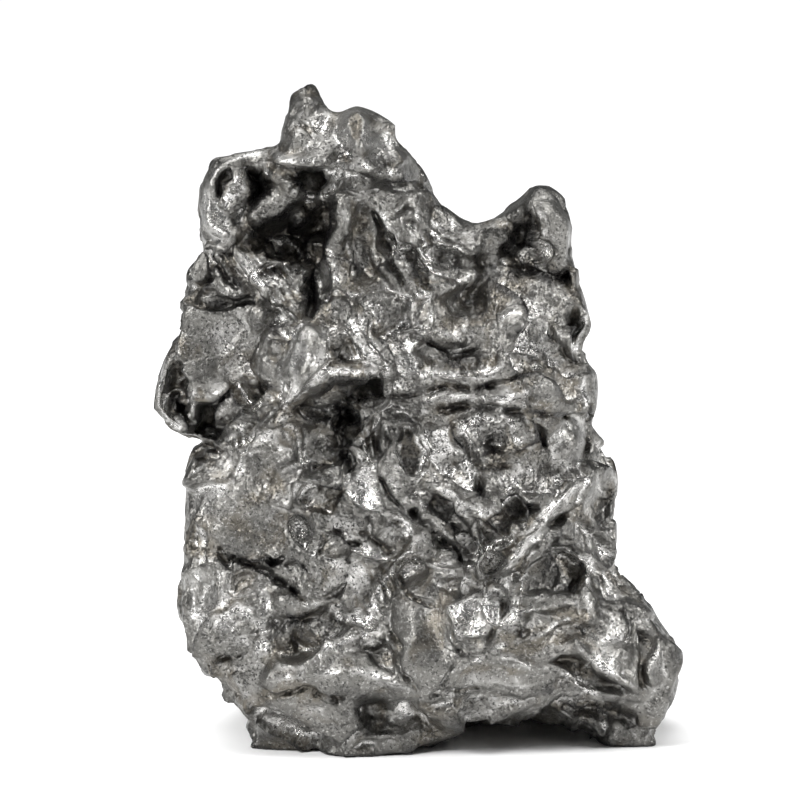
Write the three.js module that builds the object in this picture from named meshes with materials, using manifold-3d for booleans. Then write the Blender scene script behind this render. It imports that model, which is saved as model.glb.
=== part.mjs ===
// An iron meteorite: one solid lump of nickel-iron, torn and rounded by heat, that stands upright on its
// broad lower end. Millimetres, +Z up. The sculpted front faces -Y. The finished lump is slid along X and Y
// until the origin lies under the middle of its box, on the surface that it stands on.
import * as THREE from "three";
import { MarchingCubes } from "three/addons/objects/MarchingCubes.js";
import { mergeVertices } from "three/addons/utils/BufferGeometryUtils.js";
import Module from "manifold-3d";

const SAMPLES = 46; // samples along each side of the cube that the surface is drawn through
const CUBE = { middle: [0, 0, 33], side: 76 }; // the samples fill this cube
const MOST_DEPTH = 24; // nothing stands further than this in front of or behind the outline's plane
const LEAST_SHARE = 0.12; // keeps the surface this share of a cell away from every sample, so no sliver forms
const EDGE_ROUND = 8.5; // how far in from the outline the lump reaches its full thickness
const LUMP_BLEND = 3.2; // width of the fillet where a rounded form runs into the rest
const HOLLOW_BLEND = 1.6; // width of the rounding on the rim of a hollow
const FLOOR_TRIM = 76; // side of the block that trims the feet flat

// The lump's outline as seen from the front, clockwise from the foot of the small spike on the crown.
const OUTLINE = [
  [-12.7, 63.0], [-12.2, 64.6], [-11.1, 65.6], [-10.1, 64.6], [-9.2, 63.4], [-7.6, 62.9], [-5.9, 63.5],
  [-4.3, 62.8], [-2.6, 61.2], [-2.2, 59.9], [-0.5, 58.6], [0.7, 56.3], [3.0, 53.6], [5.0, 52.1],
  [8.2, 52.4], [10.6, 54.6], [12.0, 55.4], [13.8, 54.2], [15.3, 51.6], [15.4, 49.2], [16.3, 46.0],
  [17.3, 42.0], [16.9, 39.6], [17.9, 37.2], [17.9, 34.0], [17.7, 31.6], [19.2, 29.4], [20.3, 26.6],
  [20.1, 22.0], [20.4, 18.0], [22.6, 15.0], [25.0, 11.8], [26.6, 8.8], [26.2, 5.0], [25.6, 1.6],
  [22.6, -1.2], [-16.2, -1.2], [-18.0, 2.4], [-20.4, 5.2], [-22.8, 8.0], [-23.2, 10.6], [-24.5, 13.8],
  [-24.0, 17.4], [-23.6, 21.0], [-23.4, 26.0], [-22.4, 30.2], [-23.2, 30.4], [-24.6, 31.4],
  [-26.4, 33.2], [-26.5, 35.4], [-25.4, 39.4], [-24.4, 43.4], [-23.6, 47.6], [-22.4, 50.2],
  [-22.1, 54.2], [-21.2, 57.2], [-19.4, 58.8], [-16.0, 59.4], [-14.2, 60.2],
];

// Thickness ahead of and behind the middle sheet, and how far that sheet stands behind the XZ plane:
// each is a base amount and swells [x, z, reach, amount] added to it.
const FRONT = {
  base: 8.0,
  swells: [
    [-2, 8, 17, 6.0], [18, 9, 9, 2.0], [-17, 12, 10, 2.0], [-8, 36, 8, 3.0], [-14, 26, 9, 2.0],
    [6, 28, 12, 2.4], [-6, 58, 9, -1.5], [10, 50, 7, -3.0], [-21, 40, 7, -1.0], [-19, 55, 6, -2.0],
  ],
};
const BACK = {
  base: 8.5,
  swells: [
    [0, 4, 18, 4.5], [-8, 28, 10, 2.6], [10, 34, 8, 2.0], [-6, 58, 10, -2.6], [14, 50, 7, -3.6],
    [-21, 40, 7, -1.8], [22, 8, 7, -2.0], [-16, 8, 8, 1.5],
  ],
};
const MIDDLE = {
  base: 0,
  swells: [
    [12, 54, 6, -1.8], [-25, 37, 7, -2.6], [-8, 63, 7, -1.2], [20, 26, 9, 2.4], [-23, 15, 8, -2.4],
    [25, 6, 8, -3.0], [-21, 57, 6, 1.4], [16, 40, 7, -1.4], [-22, 26, 6, 1.6], [2, 54, 6, 1.2],
  ],
};

// Rounded forms that stand out of the lump: a ball drawn from one point to another, with a radius at each.
const LUMPS = [
  { name: "crown", from: [-11, -2.6, 60.4], to: [-5, -3.2, 60.3], radii: [3.0, 3.0] },
  { name: "crown spike", from: [-11.4, -1.2, 61.6], to: [-11.2, -0.6, 64.2], radii: [2.0, 1.3] },
  { name: "crown knob", from: [-6.2, -3.4, 60.4], to: [-5.9, -4.6, 61.4], radii: [2.4, 1.9] },
  { name: "ring rim", from: [-20.4, -2.5, 52.4], to: [-18.6, -3.4, 57.0], radii: [1.8, 1.8] },
  { name: "horn", from: [9.8, 1.4, 47.0], to: [12.9, -2.6, 52.3], radii: [4.4, 3.0] },
  { name: "right brink", from: [15.2, -4.0, 49.0], to: [15.4, -5.0, 42.0], radii: [1.6, 2.2] },
  { name: "left flap", from: [-23.2, -6.0, 34.6], to: [-20.8, -5.0, 46.0], radii: [3.4, 2.6] },
  { name: "flap thumb", from: [-21.8, -5.4, 45.6], to: [-21.4, -5.8, 48.4], radii: [1.7, 1.8] },
  { name: "beak", from: [-9.4, -12.2, 40.6], to: [-11.8, -12.8, 35.8], radii: [3.0, 1.9] },
  { name: "brow", from: [-9.4, -12.4, 39.8], to: [-4.8, -12.6, 39.0], radii: [2.8, 1.8] },
  { name: "left belly", from: [-17.6, -8.8, 27.0], to: [-19.0, -9.6, 14.0], radii: [4.4, 4.8] },
  { name: "drip", from: [0.2, -14.2, 14.8], to: [0.9, -15.2, 9.6], radii: [2.8, 3.5] },
  { name: "left hem", from: [-18.0, -10.6, 8.8], to: [-7.0, -14.0, 6.6], radii: [3.2, 3.4] },
  { name: "right hem", from: [6.0, -13.6, 8.4], to: [20.0, -10.4, 8.6], radii: [3.2, 3.4] },
  { name: "right toe", from: [22.9, -6.5, 9.0], to: [22.6, -7.5, 2.4], radii: [3.7, 3.2] },
  { name: "left toe", from: [-15.4, -9.0, 4.4], to: [-14.8, -9.8, 1.4], radii: [2.6, 2.2] },
  { name: "middle toe", from: [-6.5, -11.6, 4.6], to: [-5.4, -12.2, 2.0], radii: [3.6, 3.0] },
  { name: "left heel", from: [-14.0, 9.0, 5.0], to: [-13.6, 10.2, 2.0], radii: [5.0, 3.8] },
  { name: "right heel", from: [12.0, 8.4, 5.0], to: [13.0, 9.6, 2.2], radii: [5.0, 3.8] },
  { name: "low back", from: [-9.0, 9.0, 8.0], to: [3.0, 9.4, 9.0], radii: [6.2, 7.4] },
  { name: "right low back", from: [5.0, 8.6, 12.0], to: [12.0, 7.6, 15.0], radii: [6.6, 5.6] },
  { name: "right flank", from: [16.2, 3.0, 34.0], to: [15.4, 4.4, 25.0], radii: [4.4, 5.8] },
  { name: "left flank", from: [-18.2, 4.4, 44.0], to: [-16.0, 5.6, 36.0], radii: [4.8, 6.8] },
  { name: "shoulder", from: [-7.0, 6.6, 40.0], to: [-4.0, 7.6, 34.0], radii: [6.0, 7.2] },
  { name: "middle back", from: [-1.0, 7.4, 27.0], to: [5.0, 8.0, 22.0], radii: [6.8, 6.2] },
  { name: "back knob", from: [6.6, 6.6, 45.0], to: [10.0, 6.6, 39.0], radii: [4.6, 5.4] },
  { name: "nape", from: [-8.0, 2.2, 58.6], to: [-2.6, 4.4, 51.0], radii: [4.4, 5.8] },
];

// Hollows melted or torn into the lump: an egg shape with its middle, half sizes and tilt about Y, degrees.
const HOLLOWS = [
  { name: "crown cave", at: [-12.4, -8.6, 51.6], half: [5.6, 6.8, 4.4], tilt: 12 },
  { name: "cave tail", at: [-10.2, -9.4, 46.8], half: [1.8, 5.2, 4.6], tilt: 0 },
  { name: "ring hole", at: [-17.0, -8.5, 55.8], half: [2.8, 5.8, 3.0], tilt: -35 },
  { name: "crown hole", at: [-10.6, -8.9, 56.3], half: [2.3, 4.4, 1.5], tilt: 0 },
  { name: "horn valley", at: [8.2, -8.4, 48.8], half: [6.4, 7.2, 3.4], tilt: 40 },
  { name: "brow hole", at: [-7.4, -15.4, 34.0], half: [3.8, 6.0, 3.2], tilt: 15 },
  { name: "flap notch", at: [-19.6, -9.6, 32.4], half: [6.4, 5.4, 1.9], tilt: -36 },
  { name: "left hem hollow", at: [-3.4, -18.4, 4.0], half: [4.0, 5.2, 2.8], tilt: 0 },
  { name: "right hem hollow", at: [14.0, -16.0, 3.4], half: [8.0, 5.8, 2.9], tilt: 6 },
  { name: "right arch", at: [9.0, -8.0, -1.6], half: [11.2, 12.5, 5.8], tilt: 3 },
  { name: "rear arch", at: [-1.0, 9.0, -1.4], half: [9.6, 10.0, 5.0], tilt: -8 },
  { name: "middle arch", at: [17.6, 2.6, -1.2], half: [6.4, 5.6, 4.6], tilt: 10 },
  { name: "left arch", at: [-11.0, -1.4, -1.6], half: [6.6, 7.6, 4.4], tilt: 0 },
  { name: "toe gap", at: [-10.6, -13.5, -0.8], half: [2.6, 7.0, 2.3], tilt: 0 },
  { name: "side scoop", at: [25.6, 7.0, 27.0], half: [5.6, 8.4, 9.4], tilt: 6 },
  { name: "left side scoop", at: [-28.4, 6.4, 22.0], half: [6.6, 8.0, 7.5], tilt: 0 },
  { name: "upper back scoop", at: [-9.4, 15.0, 50.0], half: [7.5, 8.2, 5.6], tilt: -18 },
  { name: "middle back scoop", at: [-15.5, 18.0, 26.0], half: [7.2, 8.4, 8.2], tilt: 20 },
  { name: "right back scoop", at: [13.0, 17.4, 28.6], half: [6.8, 8.0, 8.0], tilt: -24 },
  { name: "low back scoop", at: [0.0, 20.5, 13.6], half: [9.5, 7.2, 5.4], tilt: 5 },
  { name: "horn back scoop", at: [5.4, 11.0, 53.0], half: [5.0, 6.4, 4.0], tilt: 20 },
];

const outline = new THREE.SplineCurve(OUTLINE.map(([x, z]) => new THREE.Vector2(x, z)).concat(
  new THREE.Vector2(...OUTLINE[0]),
)).getSpacedPoints(260);

// How far (x, z) is inside the outline; negative outside it.
function inset(x, z) {
  let nearest = Infinity, inside = false;
  for (let i = 0; i + 1 < outline.length; i++) {
    const a = outline[i], b = outline[i + 1];
    const along = ((x - a.x) * (b.x - a.x) + (z - a.y) * (b.y - a.y)) / a.distanceToSquared(b);
    const t = THREE.MathUtils.clamp(along, 0, 1);
    nearest = Math.min(nearest, Math.hypot(x - a.x - t * (b.x - a.x), z - a.y - t * (b.y - a.y)));
    if (a.y > z !== b.y > z && x < a.x + ((z - a.y) / (b.y - a.y)) * (b.x - a.x)) inside = !inside;
  }
  return inside ? nearest : -nearest;
}

function swollen({ base, swells }, x, z) {
  const near = ([sx, sz, reach, amount]) => amount * Math.exp(-((x - sx) ** 2 + (z - sz) ** 2) / reach ** 2);
  return base + swells.reduce((sum, swell) => sum + near(swell), 0);
}

// Distances to the forms, in millimetres: negative inside, and near enough to true around the surface.
function bodyDistance(column, y) {
  const behind = y - column.middle;
  const depth = behind < 0 ? column.front : column.back;
  const edge = Math.max(0, 1 - column.inset / EDGE_ROUND);
  return (Math.hypot(behind / depth, edge) - 1) * Math.min(depth, EDGE_ROUND);
}

function lumpDistance({ from, to, radii }, point) {
  const start = new THREE.Vector3(...from), run = new THREE.Vector3(...to).sub(start);
  const way = point.clone().sub(start);
  const t = THREE.MathUtils.clamp(way.dot(run) / run.lengthSq(), 0, 1);
  return way.addScaledVector(run, -t).length() - THREE.MathUtils.lerp(radii[0], radii[1], t);
}

function hollowDistance({ at, half, tilt }, point) {
  const p = point.clone().sub(new THREE.Vector3(...at));
  p.applyAxisAngle(new THREE.Vector3(0, 1, 0), THREE.MathUtils.degToRad(tilt));
  const unit = Math.hypot(p.x / half[0], p.y / half[1], p.z / half[2]);
  const slope = Math.hypot(p.x / half[0] ** 2, p.y / half[1] ** 2, p.z / half[2] ** 2);
  return slope > 0 ? (unit * (unit - 1)) / slope : -Math.min(...half);
}

// The smaller of two distances, with a fillet of the given width where they are alike.
function join(a, b, width) {
  const share = Math.max(0, width - Math.abs(a - b)) / width;
  return Math.min(a, b) - (share * share * width) / 4;
}

function distance(column, x, y, z) {
  const point = new THREE.Vector3(x, y, z);
  const addLump = (d, lump) => join(d, lumpDistance(lump, point), LUMP_BLEND);
  const cutHollow = (d, hollow) => -join(-d, hollowDistance(hollow, point), HOLLOW_BLEND);
  return HOLLOWS.reduce(cutHollow, LUMPS.reduce(addLump, bodyDistance(column, y)));
}

// Fills a cube of samples with the distance, and draws the surface through it as a closed skin of triangles.
function surfaceThroughSamples(material) {
  const cubes = new MarchingCubes(SAMPLES, material, false, false, 40000);
  const cell = CUBE.side / SAMPLES;
  const place = (i, axis) => CUBE.middle[axis] - CUBE.side / 2 + i * cell;
  for (let k = 0; k < SAMPLES; k++)
    for (let i = 0; i < SAMPLES; i++) {
      const x = place(i, 0), z = place(k, 2);
      const column = {
        inset: inset(x, z), front: swollen(FRONT, x, z), back: swollen(BACK, x, z), middle: swollen(MIDDLE, x, z),
      };
      for (let j = 0; j < SAMPLES; j++) {
        const d = Math.abs(place(j, 1)) < MOST_DEPTH ? distance(column, x, place(j, 1), z) : MOST_DEPTH;
        const clear = Math.sign(d || 1) * Math.max(Math.abs(d), LEAST_SHARE * cell);
        cubes.field[(k * SAMPLES + j) * SAMPLES + i] = -clear;
      }
    }
  cubes.isolation = 0;
  cubes.update();
  const drawn = new THREE.BufferGeometry()
    .setAttribute("position", new THREE.BufferAttribute(cubes.positionArray.slice(0, cubes.count * 3), 3));
  drawn.scale(CUBE.side / 2, CUBE.side / 2, CUBE.side / 2).translate(...CUBE.middle);
  const skin = mergeVertices(drawn, 1e-3);
  return { positions: skin.attributes.position.array, triangles: new Uint32Array(skin.index.array) };
}

const wasm = await Module();
wasm.setup();

function solidOf(positions, triangles) {
  return new wasm.Manifold(new wasm.Mesh({ numProp: 3, vertProperties: positions, triVerts: triangles }));
}

// A block from the floor down, which trims the toes and heels flat where the lump stands on them.
function blockBelowFloor() {
  const block = new THREE.BoxGeometry(FLOOR_TRIM, FLOOR_TRIM, FLOOR_TRIM).translate(0, 0, -FLOOR_TRIM / 2);
  block.deleteAttribute("normal").deleteAttribute("uv");
  const merged = mergeVertices(block);
  return solidOf(merged.attributes.position.array, new Uint32Array(merged.index.array));
}

function meteorite() {
  const iron = new THREE.MeshStandardMaterial({ color: 0x8b8985, roughness: 0.42, metalness: 1 });
  const { positions, triangles } = surfaceThroughSamples(iron);
  const trimmed = solidOf(positions, triangles).subtract(blockBelowFloor());
  const { vertProperties, triVerts } = trimmed.getMesh();
  const geometry = new THREE.BufferGeometry()
    .setAttribute("position", new THREE.BufferAttribute(vertProperties, 3))
    .setIndex(new THREE.BufferAttribute(triVerts, 1));
  geometry.computeBoundingBox();
  const middle = geometry.boundingBox.getCenter(new THREE.Vector3());
  geometry.translate(-middle.x, -middle.y, 0);
  geometry.computeVertexNormals();
  const mesh = new THREE.Mesh(geometry, iron);
  mesh.name = "meteorite";
  return mesh;
}

const group = new THREE.Group();
group.add(meteorite());

export default group;
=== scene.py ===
import math

import bmesh
import bpy
import numpy as np
import openvdb as vdb
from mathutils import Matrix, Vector


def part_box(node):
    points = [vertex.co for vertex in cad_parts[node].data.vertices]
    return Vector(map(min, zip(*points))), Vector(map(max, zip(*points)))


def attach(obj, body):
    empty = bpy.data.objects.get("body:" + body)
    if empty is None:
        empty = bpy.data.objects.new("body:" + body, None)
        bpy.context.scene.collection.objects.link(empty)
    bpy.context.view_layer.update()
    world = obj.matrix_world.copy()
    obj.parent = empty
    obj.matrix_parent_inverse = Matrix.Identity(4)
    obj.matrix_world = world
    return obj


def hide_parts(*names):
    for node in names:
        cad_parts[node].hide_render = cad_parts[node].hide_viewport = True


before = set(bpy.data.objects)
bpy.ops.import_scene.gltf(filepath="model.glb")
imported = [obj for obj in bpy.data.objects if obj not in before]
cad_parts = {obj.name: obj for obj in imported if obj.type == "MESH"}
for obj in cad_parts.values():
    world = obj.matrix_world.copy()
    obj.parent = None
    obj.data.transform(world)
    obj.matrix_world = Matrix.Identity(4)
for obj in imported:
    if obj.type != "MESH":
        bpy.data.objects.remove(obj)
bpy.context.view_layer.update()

mm = 0.001

# Where the front is looked at from. Strokes on the front are placed on a flat canvas before it, in mm:
# u to the right from the middle of the lump, v up from its front feet, seen from this height.
look = {
    "elevation": math.radians(8),
    "footLift": 1.4,
    "middle": (-1.9, 35.0),
    "width": 81.2,
    "distance": 400.0,
}

# The clay that the lump is shaped in: a block of samples of the distance to the surface, in mm.
clay = {
    "voxel": 0.28,
    "margin": 1.8,
    "band": 20,
    "melt": 0.75,          # how far the faceted solid's edges melt
    "frontTurn": (0.02, 0.5),
    "sideTurn": (0.35, 0.85),
    "rimShare": 0.3,       # how much of the front strokes is left at the very outline
    "rimRoom": 1.6,        # how far inside it they are at full depth
    "sideShare": 0.32,     # how much of the side strokes is pressed in
    "triangles": 194000,
    "seed": 41,
}

# The outline is cut through the clay from front to back, and the cut sides are carved, in mm.
sides = {
    "swell": 1.2,          # clay laid on around the rim before the cut
    "swellTurn": (0.25, 0.7),
    "carve": 0.75,
    "level": 0.25,         # the strokes are carved in where they are lower than this
    "deepest": 2.2,
    "bend": 0.01,          # how the sides fall away to the front and the back
    "bendMiddle": 1.5,
    "bendMost": 0.6,
    "tips": (56, 62),      # from here up the thin tips are carved less
    "tipsKept": 0.8,
    "corner": 1.4,
    "edge": 0.8,
}

# How the skin is finished after the clay is shaped.
skin = {
    "fineFrom": 0.12,      # surfaces turned to the front more than this get finer faces
    "front": (0.1, 0.5),
    "back": (0.3, 0.7),
    "rimRoom": 1.5,        # near the outline, in mm, heights keep these shares
    "rimRaised": 0.15,
    "rimSunk": 0.5,
    "foot": 1.2,           # the height over which crumpling starts above the floor
    "highest": 0.9,
}

# Crumpling all over: broken ground of plates, each with its own tilt and a shallow dish, that meet in
# narrow seams. Strengths are for the front, the back and the rim between them.
crumple = [
    {"cell": 6.8, "tilt": 1.3, "dish": 0.4, "seam": 0.07, "strengths": (0.46, 0.8, 0.5), "seed": 3},
    {"cell": 3.3, "tilt": 1.4, "dish": 0.35, "seam": 0.09, "strengths": (0.2, 0.4, 0.35), "seed": 8},
    {"cell": 1.5, "tilt": 1.4, "dish": 0.3, "seam": 0.14, "strengths": (0.08, 0.12, 0.1), "seed": 21},
]

# Strokes on the front, one set for each region:
# ridge: height, width on its left, width on its right (left and right of the way it runs), points
# crack: depth, width, points
# well: depth, width of its edge, corners (a negative depth stands out)
# bowl: depth, half width, half height, turn in degrees, middle (a negative depth is a mound)
# grain: height, spacing, direction in degrees, half width, half height, middle

crownStrokes = {
    "ridge": [
        (1.3, 0.7, 0.5, [(-17.2, 52.4), (-15.2, 53.7), (-14, 54.6), (-13.2, 56), (-12.7, 57.3)]),
        (0.8, 0.35, 0.35, [(-13.1, 55.9), (-12, 55.6), (-10.4, 55.2), (-9, 55.2), (-8.3, 55.8),
                           (-8.6, 56.8)]),
        (1.6, 0.9, 0.8, [(-17.8, 51), (-19.8, 51.6), (-20.9, 54), (-20.8, 57), (-19, 58.8),
                         (-16, 59.4), (-14.2, 58.6)]),
        (1.0, 0.4, 0.5, [(-17.6, 58.6), (-17.8, 56.8), (-18.6, 55.4), (-19.8, 54.2)]),
        (0.9, 1.2, 0.3, [(-4.2, 57.6), (-6.2, 57.3), (-8, 57.6), (-9.4, 58.3), (-11, 58.4),
                         (-12.6, 57.9), (-13.8, 58.8)]),
        (0.7, 0.5, 0.5, [(-3.6, 62), (-2.8, 60.2), (-1.8, 58.4)]),
        (2.2, 2.0, 0.15, [(-15, 60), (-13.4, 58.4), (-11, 58.6), (-9.2, 58.7), (-7.4, 57.9),
                          (-5.6, 57.6), (-4, 56.8), (-1.8, 57), (-0.2, 56.8)]),
    ],
    "crack": [
        (0.7, 0.25, [(-12.3, 62.9), (-11.2, 62.2), (-10.4, 60.4)]),
        (0.6, 0.25, [(-12.6, 63.4), (-11.8, 64.3), (-10.5, 64.5), (-9.2, 64.6)]),
        (0.8, 0.45, [(-4, 56.1), (-2, 56.6), (0.3, 56.3), (1.8, 55.4)]),
        (0.5, 0.25, [(-4.3, 59.6), (-3.4, 58.6), (-3.8, 57.4)]),
    ],
    "well": [
        (3.6, 0.5, [(-17.3, 58.3), (-15.2, 58.2), (-14.2, 57), (-15.2, 55), (-16.6, 53.4),
                    (-17.2, 52.7), (-17.5, 56.6)]),
        (2.2, 0.4, [(-18.8, 58.1), (-19.6, 57.6), (-20.6, 56.2), (-20, 54.8), (-19.4, 55.4),
                    (-18.4, 56.8)]),
        (3.2, 0.4, [(-12.5, 57), (-11.6, 57.8), (-9.6, 58), (-8.6, 57.3), (-8.7, 56), (-9.4, 55.5),
                    (-11.2, 55.6), (-12.3, 56.1)]),
        (0.9, 0.25, [(-9.3, 59), (-8.4, 59.9), (-7.1, 59.9), (-7, 58.6), (-7.9, 57.9), (-8.9, 58.1)]),
        (2.2, 0.6, [(-17.4, 51.8), (-15, 53.1), (-12.6, 55), (-8.5, 55), (-8, 52.5), (-9, 49.6),
                    (-10, 48.3), (-10.2, 44.6), (-10.8, 43.6), (-11.2, 45.6), (-11.4, 48.3),
                    (-13.4, 49.2), (-15, 50.4), (-17, 50.8)]),
        (1.2, 0.4, [(-21.2, 53.1), (-20.6, 51.8), (-19.7, 50.9), (-20.5, 50.2), (-22, 50.3),
                    (-21.8, 51.6)]),
    ],
    "bowl": [
        (0.9, 0.7, 1.3, 0, (-6.2, 61.9)),
        (-2.4, 2.0, 3.2, 0, (-6.1, 61.4)),
        (1.2, 1.2, 2.0, 20, (-3.4, 61.2)),
        (1.2, 1.3, 1.6, 0, (-9.4, 61.8)),
        (-2.4, 1.1, 1.4, 0, (-12.2, 53.5)),
        (-0.6, 2.0, 1.8, 0, (-12.6, 61.2)),
        (-1.0, 1.4, 1.8, 0, (-11.3, 64.4)),
        (-0.8, 0.9, 0.6, 20, (-8.1, 58.6)),
        (-0.8, 1.6, 1.2, 0, (-10.2, 50.8)),
    ],
}

shardStrokes = {
    "well": [
        (-2.4, 0.35, [(-18.7, 50.1), (-17.4, 50.4), (-15.7, 50.4), (-14.6, 49.4), (-12.8, 48.3),
                      (-11.5, 47.7), (-11.2, 45.8), (-10.9, 44), (-11.8, 43.2), (-13.6, 44.6),
                      (-15.6, 45.1), (-16.7, 46.5), (-17.8, 48.6)]),
        (1.9, 0.2, [(-16.1, 48), (-14.9, 48.9), (-12.9, 47.4), (-14.5, 46.4)]),
        (2.2, 0.5, [(-23.6, 46.2), (-22, 46.2), (-20, 46.1), (-18.6, 45.5), (-16.4, 45.2),
                    (-15.8, 44.2), (-19, 44.1), (-22, 43.9), (-23.8, 44.9)]),
    ],
    "ridge": [
        (1.2, 0.45, 0.4, [(-7.1, 55.9), (-7.5, 53.5), (-7.8, 51.5), (-8.4, 50.2), (-8.7, 48.5),
                          (-8.4, 46.5), (-8, 44.6), (-7.8, 43.3)]),
        (0.6, 0.3, 0.3, [(-12.9, 48.1), (-11.7, 47.9), (-11.4, 46.9), (-12.2, 46.1)]),
        (0.7, 0.4, 0.8, [(-18.4, 49.9), (-17, 48), (-15.8, 46.4), (-14.4, 44.9)]),
        (0.5, 0.3, 0.3, [(-22, 44.9), (-20.4, 45.4), (-18.8, 45.7), (-17.2, 45.2)]),
    ],
    "crack": [
        (1.8, 0.45, [(-21, 50.1), (-20.6, 48.2), (-21.2, 46.7), (-22.5, 46.3), (-23.4, 46.4)]),
        (0.7, 0.25, [(-20, 49.8), (-18.6, 48.4), (-17.4, 47)]),
        (0.7, 0.25, [(-20.3, 48.5), (-19, 47.2), (-17.8, 46.1)]),
        (0.5, 0.2, [(-17.2, 49.6), (-16, 47.6), (-14.6, 45.6), (-12.6, 44)]),
        (0.8, 0.2, [(-13.9, 46), (-12.9, 45), (-11.8, 44.4)]),
    ],
    "bowl": [
        (-1.3, 1.4, 2.1, 10, (-22.2, 48.3)),
        (0.7, 1.5, 2.2, 0, (-6.2, 53)),
        (0.9, 2.0, 2.2, 10, (-5.6, 48.4)),
        (0.5, 1.6, 1.4, 0, (-5, 45)),
    ],
    "grain": [
        (0.34, 0.42, -52, 4.6, 2.6, (-14.6, 46.8)),
        (0.22, 0.6, -40, 2.4, 2.2, (-19, 48)),
        (0.12, 0.5, -80, 2.0, 5.0, (-5.8, 49.5)),
    ],
}

foldStrokes = {
    "ridge": [
        (1.0, 0.5, 0.35, [(-4.6, 55.3), (-4.1, 53.7), (-3.3, 51.9), (-2.5, 50), (-2, 48.4),
                          (-1.5, 46.7), (-1.2, 45.1)]),
        (0.8, 0.7, 0.6, [(-1.6, 54.4), (0.3, 52.8), (2.4, 50.9), (4.6, 49.7), (5.7, 48.9)]),
        (0.8, 0.7, 0.6, [(-2.6, 54), (-0.9, 51.6), (0.2, 49.6), (1.2, 47.6), (1.5, 46.2)]),
        (0.5, 0.4, 0.4, [(3, 52), (3.6, 52.8), (4.5, 52.6), (4.4, 52)]),
        (0.9, 0.9, 0.4, [(5.6, 48.2), (4.6, 47), (3.2, 46.1), (1, 45.6), (-1.2, 45.4)]),
        (1.0, 0.9, 0.3, [(11.3, 55.4), (11.7, 53.6), (12.3, 52.1), (12.6, 51), (12.3, 50.2)]),
        (0.7, 0.3, 0.3, [(10.5, 50.2), (11.2, 49.8), (12.1, 49.1), (13.1, 48.2)]),
        (0.6, 0.4, 0.8, [(8.1, 52.2), (9.3, 50.9), (10.2, 49.6), (10.8, 48.4)]),
        (0.9, 0.6, 0.5, [(16, 46.4), (16.9, 43.4), (17, 41.6), (16.3, 40.5), (15.2, 40.2), (14.4, 41),
                         (13.7, 42.2)]),
        (0.6, 0.35, 0.35, [(7.6, 43.1), (9.2, 43.7), (10.4, 43.4), (11.2, 42.8)]),
        (0.5, 0.3, 0.4, [(8, 42), (9.6, 42.6), (11, 42.8)]),
        (0.6, 0.4, 0.3, [(4.4, 43.5), (4.7, 42.4), (4.6, 41.5)]),
        (0.6, 0.5, 0.3, [(-2.2, 41.9), (0, 42.2), (1.4, 41.9), (3.6, 42.2)]),
        (0.6, 0.5, 0.3, [(-1, 40.7), (0.8, 41.1), (3, 41.5), (4.5, 40.9)]),
        (1.0, 0.5, 0.9, [(10.2, 40.7), (9, 39.7), (8, 38.3), (6.4, 37.6), (3, 37.6), (0, 37.9)]),
    ],
    "crack": [
        (1.7, 0.35, [(-4.9, 55), (-4.3, 53), (-3.5, 51), (-2.8, 49.2), (-2.2, 47.6), (-1.6, 45.8),
                     (-1.2, 44.9)]),
        (0.8, 0.25, [(1.1, 52.3), (2.6, 51.1), (4.2, 50.2), (5.3, 49.7)]),
        (0.6, 0.25, [(-1.5, 53.2), (0, 52.3), (1.4, 50.8)]),
        (0.7, 0.3, [(5.6, 49.6), (5.7, 48.6), (6.6, 48)]),
        (0.8, 0.3, [(-1, 41.2), (0.8, 40.5), (2.2, 39.6), (4, 38.5), (5.6, 38)]),
        (0.8, 0.3, [(13.2, 42.4), (13.9, 40.6), (14.6, 39.2), (16.4, 38.8)]),
    ],
    "well": [
        (-0.5, 0.4, [(-2.9, 51.8), (-1.6, 50.2), (-0.7, 48.2), (-0.9, 46.2), (-1.4, 45.6), (-1.9, 48),
                     (-2.6, 50)]),
        (2.6, 0.9, [(10.4, 54.4), (11.4, 54.2), (12.2, 51), (12.6, 49.8), (14.9, 48.4), (15.4, 46.5),
                    (13, 46.9), (10, 47.1), (8.9, 48.6), (8.3, 50.2), (8.8, 52.6)]),
        (-0.5, 0.4, [(1, 44.6), (2.2, 45), (3.3, 44), (3.1, 42.4), (1.4, 41.9), (0.8, 43)]),
    ],
    "bowl": [
        (1.3, 0.9, 2.6, 10, (-0.1, 48.1)),
        (1.5, 2.1, 1.0, -20, (2.7, 49.3)),
        (-0.5, 1.3, 1.1, 0, (2.3, 47)),
        (-0.9, 1.6, 3.0, 25, (13.9, 52.6)),
        (-0.9, 0.8, 1.4, 5, (15.6, 47.5)),
        (1.5, 1.4, 1.9, 0, (15.4, 42.6)),
        (-0.6, 1.3, 2.0, 0, (12.2, 42.2)),
        (1.0, 3.4, 2.5, 0, (5.2, 44.4)),
        (1.3, 4.4, 2.0, 0, (5, 39.4)),
        (0.7, 1.0, 0.8, 0, (11.8, 38.3)),
    ],
    "grain": [
        (0.1, 0.7, -42, 4.0, 4.0, (2, 51)),
        (0.16, 0.5, -60, 2.2, 3.4, (10.6, 51.6)),
    ],
}

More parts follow.
